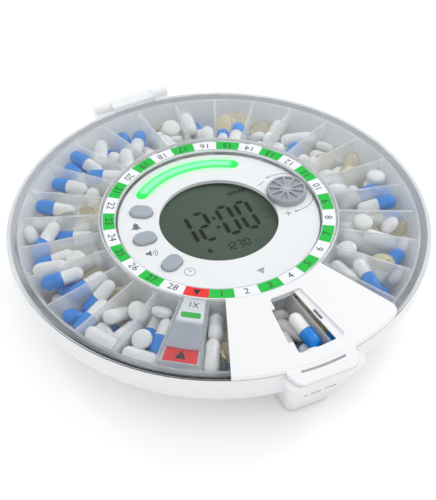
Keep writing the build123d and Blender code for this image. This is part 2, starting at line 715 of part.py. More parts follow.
# -------------------------------------------------------------------- batteries
with BuildPart() as battery_bay:
    with BuildSketch(Plane.XY.offset(INNER_UNDER_Z)):
        Rectangle(2 * (BAY_HALF_X + BAY_WALL), 2 * (BAY_HALF_Y + BAY_WALL))
    extrude(amount=BAY_TOP_Z + BAY_WALL - INNER_UNDER_Z)
    with BuildSketch(Plane.XY.offset(INNER_UNDER_Z)):
        Rectangle(2 * BAY_HALF_X, 2 * BAY_HALF_Y)
    extrude(amount=BAY_TOP_Z - INNER_UNDER_Z, mode=Mode.SUBTRACT)
    # notches for the tongues of the battery door
    with BuildSketch(Plane.XY.offset(INNER_UNDER_Z)):
        with Locations((-BAY_HALF_X / 2, -BAY_HALF_Y), (BAY_HALF_X / 2, -BAY_HALF_Y)):
            Rectangle(TONGUE_W + 2, 4 * BAY_WALL)
    extrude(amount=3 * TONGUE_T, mode=Mode.SUBTRACT)
finish(battery_bay.part, "battery_bay")

with BuildPart() as battery_door:
    # the edge below the tongues is round, because the door turns about it
    edge_r = WALL / 2
    turn_y = -(BAY_HALF_Y - GAP - edge_r)
    with BuildSketch(Plane.YZ):
        with Locations((turn_y / 2 + (BAY_HALF_Y - GAP) / 2, UNDERSIDE_Z + edge_r)):
            Rectangle(BAY_HALF_Y - GAP - turn_y, WALL)
        with Locations((turn_y, UNDERSIDE_Z + edge_r)):
            Circle(edge_r)
    extrude(amount=BAY_HALF_X - GAP, both=True)
    tongue_spots = ((-BAY_HALF_X / 2, -BAY_HALF_Y), (BAY_HALF_X / 2, -BAY_HALF_Y))
    with BuildSketch(Plane.XY.offset(UNDERSIDE_Z + WALL)):
        with Locations(*tongue_spots):
            with Locations((0, (TONGUE_ROOT_L - TONGUE_L) / 2)):
                Rectangle(TONGUE_W, TONGUE_ROOT_L + TONGUE_L)
    extrude(amount=TONGUE_T)
    with BuildSketch(Plane.XY.offset(UNDERSIDE_Z + WALL)):
        with Locations(*tongue_spots):
            with Locations((0, -TONGUE_L)):
                Rectangle(TONGUE_W, 2 * TONGUE_L)
    extrude(amount=GAP, mode=Mode.SUBTRACT)
    # finger groove at the free edge
    with BuildSketch(Plane.XY.offset(UNDERSIDE_Z)):
        with Locations((0, BAY_HALF_Y - DOOR_GROOVE_H)):
            SlotOverall(DOOR_GROOVE_W, DOOR_GROOVE_H)
    extrude(amount=WALL / 2, mode=Mode.SUBTRACT)
finish(battery_door.part, "battery_door")

CELL_ROWS = [CELL_PITCH * (row - (CELL_COUNT - 1) / 2) for row in range(CELL_COUNT)]
with BuildPart() as aa_batteries:
    # the cells lie head to tail
    for row, x in enumerate(CELL_ROWS):
        towards = 1 if row % 2 else -1
        with BuildSketch(Plane.XZ.offset(-towards * CELL_L / 2)):
            with Locations((x, CELL_Z)):
                Circle(CELL_R)
        extrude(amount=towards * (CELL_L - CELL_TIP_L))
        with BuildSketch(Plane.XZ.offset(towards * (CELL_L / 2 - CELL_TIP_L))):
            with Locations((x, CELL_Z)):
                Circle(CELL_TIP_R)
        extrude(amount=towards * CELL_TIP_L)
finish(aa_batteries.part, "aa_batteries")

with BuildPart() as battery_contacts:
    for plate_y in (-BAY_HALF_Y, BAY_HALF_Y - CONTACT_T):
        with BuildSketch(Plane.XZ.offset(plate_y)):
            for x in CELL_ROWS:
                with Locations((x, CELL_Z)):
                    RectangleRounded(CONTACT_SIDE, CONTACT_SIDE, 1.5)
        extrude(amount=CONTACT_T)
finish(battery_contacts.part, "battery_contacts")

# ---------------------------------------------------------------- control panel
DIAL_SPOT = polar(DIAL_PLACE_R, DIAL_ANGLE)[:2]
LUG_SPOTS = [polar(LUG_PLACE_R, angle)[:2] for angle in LUG_ANGLES]
BOARD_SCREW_SPOTS = [polar(BOARD_SCREW_PLACE_R, angle)[:2] for angle in BOARD_SCREW_ANGLES]


def light_bar(width):
    """Curved bar with round ends, drawn in the sketch in use."""
    inner_r = LIGHT_R - width / 2
    outer_r = LIGHT_R + width / 2
    sector_outline(inner_r, outer_r, LIGHT_START, LIGHT_END)
    with Locations(polar(LIGHT_R, LIGHT_START)[:2], polar(LIGHT_R, LIGHT_END)[:2]):
        Circle(width / 2)


with BuildPart() as control_panel:
    with BuildSketch(Plane.XY.offset(PANEL_UNDER_Z)):
        Circle(HUB_R)
    extrude(amount=PANEL_T)
    fillet(control_panel.edges().group_by(Axis.Z)[-1], 0.6)
    with BuildSketch(Plane.XY.offset(PANEL_UNDER_Z)):
        Circle(DISPLAY_R)
        with Locations(DIAL_SPOT):
            Circle(DIAL_STEM_R + GAP)
        for name, angle in BUTTON_ANGLES:
            with Locations(Location(polar(BUTTON_R, angle), (0, 0, angle))):
                SlotOverall(BUTTON_L + 2 * GAP, BUTTON_W + 2 * GAP)
        light_bar(LIGHT_W + 2 * SEAT)
    extrude(amount=PANEL_T, mode=Mode.SUBTRACT)
    # posts that land on the lugs of the hub wall and bosses for the board
    with BuildSketch(Plane.XY.offset(LUG_TOP_Z)):
        with Locations(*LUG_SPOTS):
            Circle(POST_R)
    extrude(amount=PANEL_UNDER_Z - LUG_TOP_Z)
    with BuildSketch(Plane.XY.offset(BOARD_TOP_Z)):
        with Locations(*BOARD_SCREW_SPOTS):
            Circle(POST_R)
    extrude(amount=PANEL_UNDER_Z - BOARD_TOP_Z)
    with BuildSketch(Plane.XY.offset(LUG_TOP_Z)):
        with Locations(*LUG_SPOTS, *BOARD_SCREW_SPOTS):
            Circle(SMALL_SCREW_R + FIT)
    extrude(amount=PANEL_UNDER_Z - LUG_TOP_Z, mode=Mode.SUBTRACT)
finish(control_panel.part, "control_panel")

with BuildPart() as panel_screws:
    with BuildSketch(Plane.XY.offset(LUG_TOP_Z - LUG_T - SCREW_HEAD_T)):
        with Locations(*LUG_SPOTS):
            Circle(2 * SMALL_SCREW_R)
    extrude(amount=SCREW_HEAD_T)
    with BuildSketch(Plane.XY.offset(LUG_TOP_Z - LUG_T)):
        with Locations(*LUG_SPOTS):
            Circle(SMALL_SCREW_R)
    extrude(amount=LUG_T + 4)
finish(panel_screws.part, "panel_screws")

with BuildPart() as board_screws:
    with BuildSketch(Plane.XY.offset(BOARD_Z - SCREW_HEAD_T)):
        with Locations(*BOARD_SCREW_SPOTS):
            Circle(2 * SMALL_SCREW_R)
    extrude(amount=SCREW_HEAD_T)
    with BuildSketch(Plane.XY.offset(BOARD_Z)):
        with Locations(*BOARD_SCREW_SPOTS):
            Circle(SMALL_SCREW_R)
    extrude(amount=BOARD_T + 2.4)
finish(board_screws.part, "board_screws")

with BuildPart() as main_circuit_board:
    with BuildSketch(Plane.XY.offset(BOARD_Z)):
        Circle(BOARD_R)
        with Locations(*LUG_SPOTS):
            Circle(POST_R + 2 * GAP, mode=Mode.SUBTRACT)
        with Locations(*BOARD_SCREW_SPOTS):
            Circle(SMALL_SCREW_R + SEAT, mode=Mode.SUBTRACT)
    extrude(amount=BOARD_T)
finish(main_circuit_board.part, "main_circuit_board")

# display: a round module on the board and a clear window under the panel
LCD_TOP_Z = PANEL_UNDER_Z - WINDOW_T - SEAT
with BuildPart() as lcd_module:
    with BuildSketch(Plane.XY.offset(BOARD_TOP_Z)):
        Circle(LCD_R - 1)
    extrude(amount=LCD_TOP_Z - BOARD_TOP_Z - 1)
    with BuildSketch(Plane.XY.offset(LCD_TOP_Z - 1)):
        Circle(LCD_R)
    extrude(amount=1)
finish(lcd_module.part, "lcd_module")

with BuildPart() as display_window:
    with BuildSketch(Plane.XY.offset(PANEL_UNDER_Z - WINDOW_T)):
        Circle(LCD_R)
    extrude(amount=WINDOW_T)
finish(display_window.part, "display_window")

with BuildPart() as light_guide:
    with BuildSketch(Plane.XY.offset(PANEL_UNDER_Z)):
        light_bar(LIGHT_W)
    extrude(amount=PANEL_T + LIGHT_PROUD)
    fillet(light_guide.edges().group_by(Axis.Z)[-1], LIGHT_PROUD)
    with BuildSketch(Plane.XY.offset(PANEL_UNDER_Z - LIGHT_FLANGE_T)):
        light_bar(LIGHT_W + 2 * LIGHT_FLANGE)
    extrude(amount=LIGHT_FLANGE_T)
finish(light_guide.part, "light_guide")

with BuildPart() as leds:
    for angle in LED_ANGLES:
        with BuildSketch(Plane.XY.offset(BOARD_TOP_Z)):
            with Locations(Location(polar(LIGHT_R - LED_H, angle), (0, 0, angle))):
                Rectangle(LED_W, LED_L)
        extrude(amount=LED_H)
finish(leds.part, "leds")

with BuildPart() as tact_switches:
    for name, angle in BUTTON_ANGLES:
        with BuildSketch(Plane.XY.offset(BOARD_TOP_Z)):
            with Locations(Location(polar(BUTTON_R, angle), (0, 0, angle))):
                Rectangle(SWITCH_SIDE, SWITCH_SIDE)
        extrude(amount=SWITCH_H - 0.5)
        with BuildSketch(Plane.XY.offset(BOARD_TOP_Z)):
            with Locations(polar(BUTTON_R, angle)[:2]):
                Circle(SWITCH_SIDE / 4)
        extrude(amount=SWITCH_H)
finish(tact_switches.part, "tact_switches")

with BuildPart() as buzzer:
    with BuildSketch(Plane.XY.offset(BOARD_Z - BUZZER_H)):
        with Locations(BUZZER_SPOT):
            Circle(BUZZER_R)
    extrude(amount=BUZZER_H)
    with BuildSketch(Plane.XY.offset(BOARD_Z - BUZZER_H)):
        with Locations(BUZZER_SPOT):
            Circle(BUZZER_R / 5)
    extrude(amount=2, mode=Mode.SUBTRACT)
finish(buzzer.part, "buzzer")

# buttons: a domed key in the panel on a flange that keeps it in
BUTTON_Z = BOARD_TOP_Z + SWITCH_H + BUTTON_TRAVEL + SEAT
for button_name, angle in BUTTON_ANGLES:
    with BuildPart() as button:
        with BuildSketch(Plane.XY.offset(BUTTON_Z)):
            with Locations(Location(polar(BUTTON_R, angle), (0, 0, angle))):
                SlotOverall(BUTTON_L, BUTTON_W)
        extrude(amount=PANEL_TOP_Z + BUTTON_PROUD - BUTTON_Z)
        fillet(button.edges().group_by(Axis.Z)[-1], BUTTON_PROUD / 2)
        with BuildSketch(Plane.XY.offset(BUTTON_Z)):
            with Locations(Location(polar(BUTTON_R, angle), (0, 0, angle))):
                SlotOverall(BUTTON_L + 2 * BUTTON_FLANGE, BUTTON_W + 2 * BUTTON_FLANGE)
        extrude(amount=PANEL_UNDER_Z - GAP - BUTTON_Z)
    finish(button.part, button_name)

# dial with ten grooves between its spokes, on a stem that turns in the encoder
ENCODER_TOP_Z = PANEL_UNDER_Z - 1.2
with BuildPart() as dial_encoder:
    with BuildSketch(Plane.XY.offset(BOARD_TOP_Z)):
        with Locations(DIAL_SPOT):
            Rectangle(ENCODER_SIDE, ENCODER_SIDE)
    extrude(amount=ENCODER_TOP_Z - BOARD_TOP_Z)
    with BuildSketch(Plane.XY.offset(BOARD_TOP_Z)):
        with Locations(DIAL_SPOT):
            Circle(DIAL_STEM_R / 2 + FIT)
    extrude(amount=ENCODER_TOP_Z - BOARD_TOP_Z, mode=Mode.SUBTRACT)
finish(dial_encoder.part, "dial_encoder")

DIAL_Z = PANEL_TOP_Z + GAP
with BuildPart() as dial_knob:
    with BuildSketch(Plane.XY.offset(DIAL_Z)):
        Circle(DIAL_R)
    extrude(amount=DIAL_H)
    fillet(dial_knob.edges().group_by(Axis.Z)[-1], DIAL_EDGE)
    # sunk sectors leave the spokes, the hub and the rim standing
    with BuildSketch(Plane.XY.offset(DIAL_Z + DIAL_H)):
        for spoke in range(DIAL_SPOKES):
            turn = spoke * 360 / DIAL_SPOKES
            width = 360 / DIAL_SPOKES
            with BuildLine() as well:
                Polyline(
                    polar(DIAL_HUB_R, turn + width * 0.28)[:2],
                    polar(DIAL_R - DIAL_RIM, turn + width * 0.12)[:2],
                    polar(DIAL_R - DIAL_RIM, turn + width / 2)[:2],
                    polar(DIAL_R - DIAL_RIM, turn + width * 0.88)[:2],
                    polar(DIAL_HUB_R, turn + width * 0.72)[:2],
                    close=True,
                )
            make_face(well.edges())
    extrude(amount=-DIAL_SUNK, mode=Mode.SUBTRACT)
    with BuildSketch(Plane.XY.offset(ENCODER_TOP_Z + GAP)):
        Circle(DIAL_STEM_R)
    extrude(amount=DIAL_Z - ENCODER_TOP_Z - GAP)
    with BuildSketch(Plane.XY.offset(BOARD_TOP_Z + GAP)):
        Circle(DIAL_STEM_R / 2)
    extrude(amount=ENCODER_TOP_Z - BOARD_TOP_Z)
    dial_in_place = Pos(DIAL_SPOT[0], DIAL_SPOT[1], 0) * dial_knob.part
finish(dial_in_place, "dial_knob")

# -------------------------------------------------------------------- dose ring
with BuildPart() as dose_ring:
    turned(((RING_IN_R, RING_Z), (RING_OUT_R, RING_Z), (RING_OUT_R, RING_TOP_Z), (RING_IN_R, RING_TOP_Z)))
    chamfer(dose_ring.edges().group_by(Axis.Z)[-1], 0.3)
    # root of the tab, in the notch of the shelf
    with BuildSketch(Plane.XY.offset(TAB_ROOT_Z).rotated((0, 0, dose_angle(0)))):
        with Locations(((TAB_ROOT_R + RING_OUT_R) / 2 - 0.3, 0)):
            Rectangle(RING_OUT_R - TAB_ROOT_R - 0.6, TAB_IN_W)
    extrude(amount=RING_Z + RING_T / 2 - TAB_ROOT_Z)
    # tab that slopes with the lid
    with BuildPart(mode=Mode.PRIVATE) as slab:
        cone_slab(TAB_ROOT_R + 0.6, TAB_OUT_R, TAB_DROP, TAB_T, dose_angle(0) - PITCH / 2, PITCH)
    with BuildPart(mode=Mode.PRIVATE) as trim:
        with BuildSketch(Plane.XY.rotated((0, 0, dose_angle(0)))):
            with BuildLine():
                Polyline(
                    (TAB_ROOT_R, -TAB_IN_W / 2),
                    (TAB_OUT_R, -TAB_OUT_W / 2),
                    (TAB_OUT_R, TAB_OUT_W / 2),
                    (TAB_ROOT_R, TAB_IN_W / 2),
                    close=True,
                )
            make_face()
        extrude(amount=RING_TOP_Z)
    add(slab.part.intersect(trim.part))
finish(dose_ring.part, "dose_ring")

# cover of the home place: a lid plate between two dividers, with side skirts
COVER_DROP = TAB_DROP + TAB_T + GAP
COVER_T = 1.2
COVER_SKIRT = 5
COVER_IN_R = TRAY_IN_R + 2 * GAP
COVER_OUT_R = (tray_outer_r(tray_top_z(TRAY_TOP_R) - COVER_SKIRT - 1) - TRAY_WALL_T - GAP) * cos(radians(PITCH / 2))


def home_wedge(inner_r, outer_r, side_gap):
    """Plan of the space between the dividers of the home place."""
    half = radians(PITCH / 2)
    corners = []
    for radius in (inner_r, outer_r):
        corners.append((radius, radius * tan(half) - DIVIDER_T / 2 / cos(half) - side_gap))
    (near_x, near_y), (far_x, far_y) = corners
    with BuildLine() as plan:
        Polyline((near_x, -near_y), (far_x, -far_y), (far_x, far_y), (near_x, near_y), close=True)
    make_face(plan.edges())


with BuildPart() as home_cover:
    with BuildPart(mode=Mode.PRIVATE) as plate:
        cone_slab(COVER_IN_R - 1, COVER_OUT_R + 1, COVER_DROP, COVER_SKIRT, dose_angle(0) - PITCH / 2, PITCH)
        inside = (COVER_IN_R - 2, COVER_OUT_R - COVER_T)
        cone_slab(*inside, COVER_DROP + COVER_T, COVER_SKIRT, dose_angle(0) - PITCH / 4, PITCH / 2, Mode.SUBTRACT)
    with BuildPart(mode=Mode.PRIVATE) as wedge:
        with BuildSketch(Plane.XY.rotated((0, 0, dose_angle(0)))):
            home_wedge(COVER_IN_R, COVER_OUT_R, SEAT)
        extrude(amount=RING_TOP_Z)
    add(plate.part.intersect(wedge.part))
finish(home_cover.part, "home_cover")

# -------------------------------------------------------------------- lid cover
def lid_outline(thickness):
    """Corners of the lid in section, with the step that nests in the rim."""
    nest_r = LID_NEST_R
    return (
        (LID_HOLE_R, lid_z(LID_HOLE_R)),
        (LID_EDGE_R - 1, lid_z(LID_EDGE_R - 1)),
        (LID_EDGE_R, lid_z(LID_EDGE_R) - 0.7),
        (LID_EDGE_R, LID_EDGE_Z),
        (nest_r, LID_EDGE_Z),
        (nest_r, lid_z(nest_r) - LID_T),
        (nest_r - 2, lid_z(nest_r - 2) - thickness),
        (LID_HOLE_R, lid_z(LID_HOLE_R) - thickness),
    )


def panel_plan(side_gap):
    """Plan of the white panel: a sector whose outer right corner is round."""
    left = PANEL_LEFT - degrees(side_gap / LID_EDGE_R)
    right = PANEL_RIGHT + degrees(side_gap / LID_EDGE_R)
    with BuildSketch(mode=Mode.PRIVATE) as plan:
        sector_outline(LID_HOLE_R - 1, LID_EDGE_R, left, right)
        corner = plan.vertices().sort_by_distance(polar(LID_EDGE_R, right))[0]
        fillet(corner, PANEL_CORNER_R)
        sector_outline(LID_EDGE_R - 0.5, LID_EDGE_R + 1, left, right - 1.5 * degrees(PANEL_CORNER_R / LID_EDGE_R))
    return plan.sketch


with BuildPart() as lid_cover:
    turned(lid_outline(LID_T))
    panel_space = extrude(panel_plan(FIT), amount=2 * LID_TOP_Z, mode=Mode.PRIVATE)
    add(panel_space, mode=Mode.SUBTRACT)
    # hinge leaf and knuckle
    with BuildSketch(Plane.YZ):
        with Locations((HINGE_Y, HINGE_Z)):
            Circle(KNUCKLE_R)
        with BuildLine():
            Polyline(
                (LID_NEST_R - 1, lid_z(LID_NEST_R) + 0.6),
                (HINGE_Y, HINGE_Z + KNUCKLE_R),
                (HINGE_Y, LID_EDGE_Z),
                (LID_NEST_R - 1, LID_EDGE_Z),
                close=True,
            )
        make_face()
        with Locations((HINGE_Y, HINGE_Z)):
            Circle(HINGE_PIN_R + FIT, mode=Mode.SUBTRACT)
    extrude(amount=KNUCKLE_HALF, both=True)
finish(lid_cover.part, "lid_cover")

with BuildPart() as hinge_pin:
    with BuildSketch(Plane.YZ):
        with Locations((HINGE_Y, HINGE_Z)):
            Circle(HINGE_PIN_R)
    extrude(amount=KNUCKLE_HALF + GAP + EAR_W, both=True)
finish(hinge_pin.part, "hinge_pin")

# -------------------------------------------------------------------- lid panel
DOOR_IN_R = MOUTH_IN_R - DOOR_LAP
DOOR_OUT_R = MOUTH_OUT_R + DOOR_LAP
DOOR_DROP = SKIN_T + DOOR_GAP
TUNNEL_START = DOOR_EDGE - DOOR_TRAVEL - 0.3
TUNNEL_ARC = DOOR_TRAVEL + DOOR_SPAN + 0.8
TAB_UNDER_Z = NOSE_TOP_Z + GAP
HOOK_Y = nose_front_y(HOOK_Z) + NOSE_WALL + GAP + 0.1

with BuildPart() as lid_panel:
    turned(lid_outline(LID_STACK))
    panel_space = extrude(panel_plan(-FIT), amount=2 * LID_TOP_Z, mode=Mode.PRIVATE)
    add(panel_space, mode=Mode.INTERSECT)
    # tunnel of the door, open below between its two guide lips
    tunnel = (DOOR_IN_R - DOOR_GAP, DOOR_OUT_R + DOOR_GAP)
    cone_slab(*tunnel, SKIN_T, DOOR_T + 2 * DOOR_GAP, TUNNEL_START, TUNNEL_ARC, Mode.SUBTRACT)
    cone_slab(MOUTH_IN_R, MOUTH_OUT_R, SKIN_T + DOOR_T, LID_STACK, TUNNEL_START, TUNNEL_ARC, Mode.SUBTRACT)
    # mouth in the top skin
    with BuildSketch(Plane.XY.offset(lid_z(MOUTH_OUT_R) - LID_STACK)) as mouth:
        sector_outline(MOUTH_IN_R, MOUTH_OUT_R, MOUTH_LEFT, MOUTH_RIGHT)
        fillet(mouth.vertices(), MOUTH_CORNER_R)
        with BuildSketch(mode=Mode.PRIVATE) as step:
            sector_outline(STEP_IN_R, STEP_OUT_R, STEP_LEFT, (MOUTH_LEFT + MOUTH_RIGHT) / 2)
            fillet(step.vertices(), STEP_CORNER_R)
        add(step.sketch)
    extrude(amount=2 * LID_STACK + LID_TOP_Z - lid_z(MOUTH_OUT_R), mode=Mode.SUBTRACT)
    # tab over the lock nose
    with BuildPart(mode=Mode.PRIVATE) as tab:
        with BuildSketch(Plane.XY.offset(TAB_UNDER_Z)) as tab_plan:
            with BuildLine():
                Polyline(
                    (-LATCH_TAB_W / 2, -LID_NEST_R + 1.5),
                    (-LATCH_TAB_W / 2, -LID_EDGE_R),
                    (-LATCH_TAB_FRONT_W / 2, -TAB_REACH),
                    (LATCH_TAB_FRONT_W / 2, -TAB_REACH),
                    (LATCH_TAB_W / 2, -LID_EDGE_R),
                    (LATCH_TAB_W / 2, -LID_NEST_R + 1.5),
                    close=True,
                )
            make_face()
            fillet(tab_plan.vertices().group_by(Axis.Y)[0], LATCH_TAB_CORNER_R)
        extrude(amount=LID_EDGE_Z + 1.2 - TAB_UNDER_Z)
        # the tab falls off towards its edge and stands clear of the rim below
        with BuildSketch(Plane.YZ):
            with BuildLine():
                Polyline(
                    (-LID_NEST_R - 1, LID_EDGE_Z + 1.4),
                    (-TAB_REACH - 1, TAB_UNDER_Z + 1.2),
                    (-TAB_REACH - 1, LID_TOP_Z),
                    (-LID_NEST_R - 1, LID_TOP_Z),
                    close=True,
                )
            make_face()
        extrude(amount=LATCH_TAB_W, both=True, mode=Mode.SUBTRACT)
        with BuildSketch(Plane.XY.offset(TAB_UNDER_Z - 1)):
            Circle(RIM_R + GAP)
        extrude(amount=LID_EDGE_Z - TAB_UNDER_Z + 1, mode=Mode.SUBTRACT)
    add(tab.part)
    # curved slot through the tab
    slot_half = degrees(SLOT_L / 2 / SLOT_R)
    with BuildSketch(Plane.XY.offset(TAB_UNDER_Z)):
        sector_outline(SLOT_R - SLOT_W / 2, SLOT_R + SLOT_W / 2, -90 - slot_half, -90 + slot_half)
    extrude(amount=LID_STACK * 2, mode=Mode.SUBTRACT)
    # catch hook that the lock lever holds
    with BuildSketch(Plane.YZ):
        with BuildLine():
            Polyline(
                (HOOK_Y, TAB_UNDER_Z + 0.4),
                (HOOK_Y, HOOK_Z),
                (HOOK_Y + HOOK_T + HOOK_BARB / 2, HOOK_Z),
                (HOOK_Y + HOOK_T + HOOK_BARB, HOOK_Z + HOOK_BARB_H / 2),
                (HOOK_Y + HOOK_T + HOOK_BARB, HOOK_Z + HOOK_BARB_H),
                (HOOK_Y + HOOK_T, HOOK_Z + HOOK_BARB_H),
                (HOOK_Y + HOOK_T, TAB_UNDER_Z + 0.4),
                close=True,
            )
        make_face()
    extrude(amount=HOOK_W / 2, both=True)
finish(lid_panel.part, "lid_panel")

with BuildPart() as dispensing_door:
    cone_slab(DOOR_IN_R, DOOR_OUT_R, DOOR_DROP, DOOR_T, DOOR_EDGE, DOOR_SPAN)
    # finger notch near the front edge
    notch_r = (MOUTH_IN_R + MOUTH_OUT_R) / 2
    notch_angle = DOOR_EDGE + degrees((NOTCH_L / 2 + 0.5) / notch_r)
    with BuildSketch(Plane.XY.offset(lid_z(MOUTH_OUT_R) - LID_STACK)):
        with Locations(Location(polar(notch_r, notch_angle), (0, 0, notch_angle))):
            SlotOverall(NOTCH_W, NOTCH_L)
    extrude(amount=2 * LID_STACK + LID_TOP_Z - lid_z(MOUTH_OUT_R), mode=Mode.SUBTRACT)
finish(dispensing_door.part, "dispensing_door")

# ------------------------------------------------------------------ lid lock
LEVER_LEAN = (nose_front_y(LEVER_TOP_Z) - nose_front_y(LEVER_PIN_Z)) / (LEVER_TOP_Z - LEVER_PIN_Z)
LEVER_BARB_Y = HOOK_Y + HOOK_T + HOOK_BARB + GAP
LEVER_BARB_Z = HOOK_Z + HOOK_BARB_H + 0.8
LEVER_TOP_Y = LEVER_BARB_Y + LEVER_BARB

with BuildPart() as lock_lever:
    with BuildSketch(Plane.YZ):
        with Locations((LEVER_PIN_Y, LEVER_PIN_Z)):
            Circle(LEVER_PIN_R + 1.4)
        with BuildLine():
            Polyline(
                (LEVER_PIN_Y - 1.5, LEVER_PIN_Z),
                (LEVER_TOP_Y, LEVER_BARB_Z - 1),
                (LEVER_TOP_Y, LEVER_BARB_Z),
                (LEVER_BARB_Y, LEVER_BARB_Z),
                (LEVER_BARB_Y + LEVER_BARB / 2, LEVER_TOP_Z),
                (LEVER_TOP_Y + LEVER_T, LEVER_TOP_Z),
                (LEVER_TOP_Y + LEVER_T, LEVER_BARB_Z - 1),
                (LEVER_PIN_Y + 1.5, LEVER_PIN_Z),
                close=True,
            )
        make_face()
        with Locations((LEVER_PIN_Y, LEVER_PIN_Z)):
            Circle(LEVER_PIN_R + FIT, mode=Mode.SUBTRACT)
    extrude(amount=LEVER_W / 2, both=True)
finish(lock_lever.part, "lock_lever")

with BuildPart() as lever_pin:
    with BuildSketch(Plane.YZ):
        with Locations((LEVER_PIN_Y, LEVER_PIN_Z)):
            Circle(LEVER_PIN_R)
    extrude(amount=POCKET_W / 2 + 1.5, both=True)
finish(lever_pin.part, "lever_pin")

SPRING_T = 0.4
with BuildPart() as lock_spring:
    # leaf on the back of the pocket that presses on the lever
    low_z = LEVER_PIN_Z + 5
    high_z = LEVER_PIN_Z + 10
    tip_z = LEVER_PIN_Z + 13
    tip_y = LEVER_PIN_Y + 1.5 + LEVER_LEAN * (tip_z - LEVER_PIN_Z) + GAP
    with BuildSketch(Plane.YZ):
        with BuildLine():
            Polyline(
                (pocket_back_y(low_z) - SEAT, low_z),
                (pocket_back_y(low_z) - SEAT - SPRING_T, low_z),
                (pocket_back_y(high_z) - SEAT - SPRING_T, high_z),
                (tip_y, tip_z),
                (tip_y + SPRING_T, tip_z + 0.3),
                (pocket_back_y(high_z) - SEAT, high_z),
                close=True,
            )
        make_face()
    extrude(amount=LEVER_W / 4, both=True)
finish(lock_spring.part, "lock_spring")
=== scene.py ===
from math import atan2, ceil, cos, degrees, hypot, pi, radians, sin, tan
from random import Random

import bpy
from mathutils import Matrix, Vector


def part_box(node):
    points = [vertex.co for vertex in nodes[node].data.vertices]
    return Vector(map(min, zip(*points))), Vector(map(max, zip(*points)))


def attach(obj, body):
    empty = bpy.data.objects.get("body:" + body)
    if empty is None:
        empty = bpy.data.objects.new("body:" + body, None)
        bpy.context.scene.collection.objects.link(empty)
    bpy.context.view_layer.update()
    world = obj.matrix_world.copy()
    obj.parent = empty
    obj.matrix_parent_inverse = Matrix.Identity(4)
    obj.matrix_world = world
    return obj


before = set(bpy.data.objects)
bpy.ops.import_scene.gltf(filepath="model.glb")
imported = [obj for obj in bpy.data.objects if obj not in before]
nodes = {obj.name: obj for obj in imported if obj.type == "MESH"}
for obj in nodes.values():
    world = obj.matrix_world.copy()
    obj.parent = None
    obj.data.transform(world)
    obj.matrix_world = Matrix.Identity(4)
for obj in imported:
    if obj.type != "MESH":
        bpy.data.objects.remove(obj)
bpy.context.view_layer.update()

# Automatic pill dispenser, dressed. Lengths in this script are metres; MM turns a
# length that is easier to read in millimetres into metres.
MM = 0.001


def top_of(node):
    """Height of a CAD node's highest point."""
    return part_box(node)[1].z


# ---------------------------------------------------------------- sizes that prints need
DOSES = 29
PITCH = 360 / DOSES
FRONT_DOSE = 3
RING_TOP = 46 * MM
TAB_THIN_R = 74 * MM         # the ring's tab turns see-through beyond this
TRAY_IN_R = 62.6 * MM
TRAY_FLOOR_TOP = 19.5 * MM
TRAY_FOOT_R = 94.4 * MM
TRAY_TOP_R = 104.4 * MM
TRAY_TOP_GAP = 3.1 * MM      # top of the tray below the top of the lid
DIVIDER_T = 1.2 * MM
LID_HOLE_R = 61.8 * MM
LID_TOP = top_of("lid_cover")
LID_SLOPE = radians(5.1)
HINGE_BLOCK_Y = 108.6 * MM
COVER_DROP = TRAY_TOP_GAP + 1.1 * MM
HUB_TOP = 43.4 * MM
LCD_TOP = 40.1 * MM
LCD_TURN = radians(-3.6)
LIGHT_R = 44.8 * MM
LIGHT_W = 6 * MM
LIGHT_START, LIGHT_END = 54, 129
DIAL_CENTRE = (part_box("dial_knob")[0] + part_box("dial_knob")[1]) / 2
DIAL_TOP = top_of("dial_knob")
PRINT_T = 0.04 * MM          # ink and labels stand this proud
PRINT_SINK = 0.03 * MM


def dose_angle(number):
    """Angle of a dose place at rest, in degrees; the home place is number 0."""
    return -90 + (number - FRONT_DOSE) * PITCH


def lid_top(radius):
    """Height of the lid's top face, which falls towards the rim."""
    return LID_TOP - (radius - LID_HOLE_R) * tan(LID_SLOPE)


def on_slope(drop):
    """Height function of a face that lies `drop` below the lid's top face."""
    return lambda x, y: lid_top(hypot(x, y)) - drop


def level(height):
    """Height function of a level face."""
    return lambda x, y: height


# ------------------------------------------------------------------ materials
def colour(red, green, blue):
    """An sRGB colour from 0 to 255 as the linear RGBA that a shader takes."""
    def linear(value):
        share = value / 255
        return share / 12.92 if share <= 0.04045 else ((share + 0.055) / 1.055) ** 2.4
    return (linear(red), linear(green), linear(blue), 1)


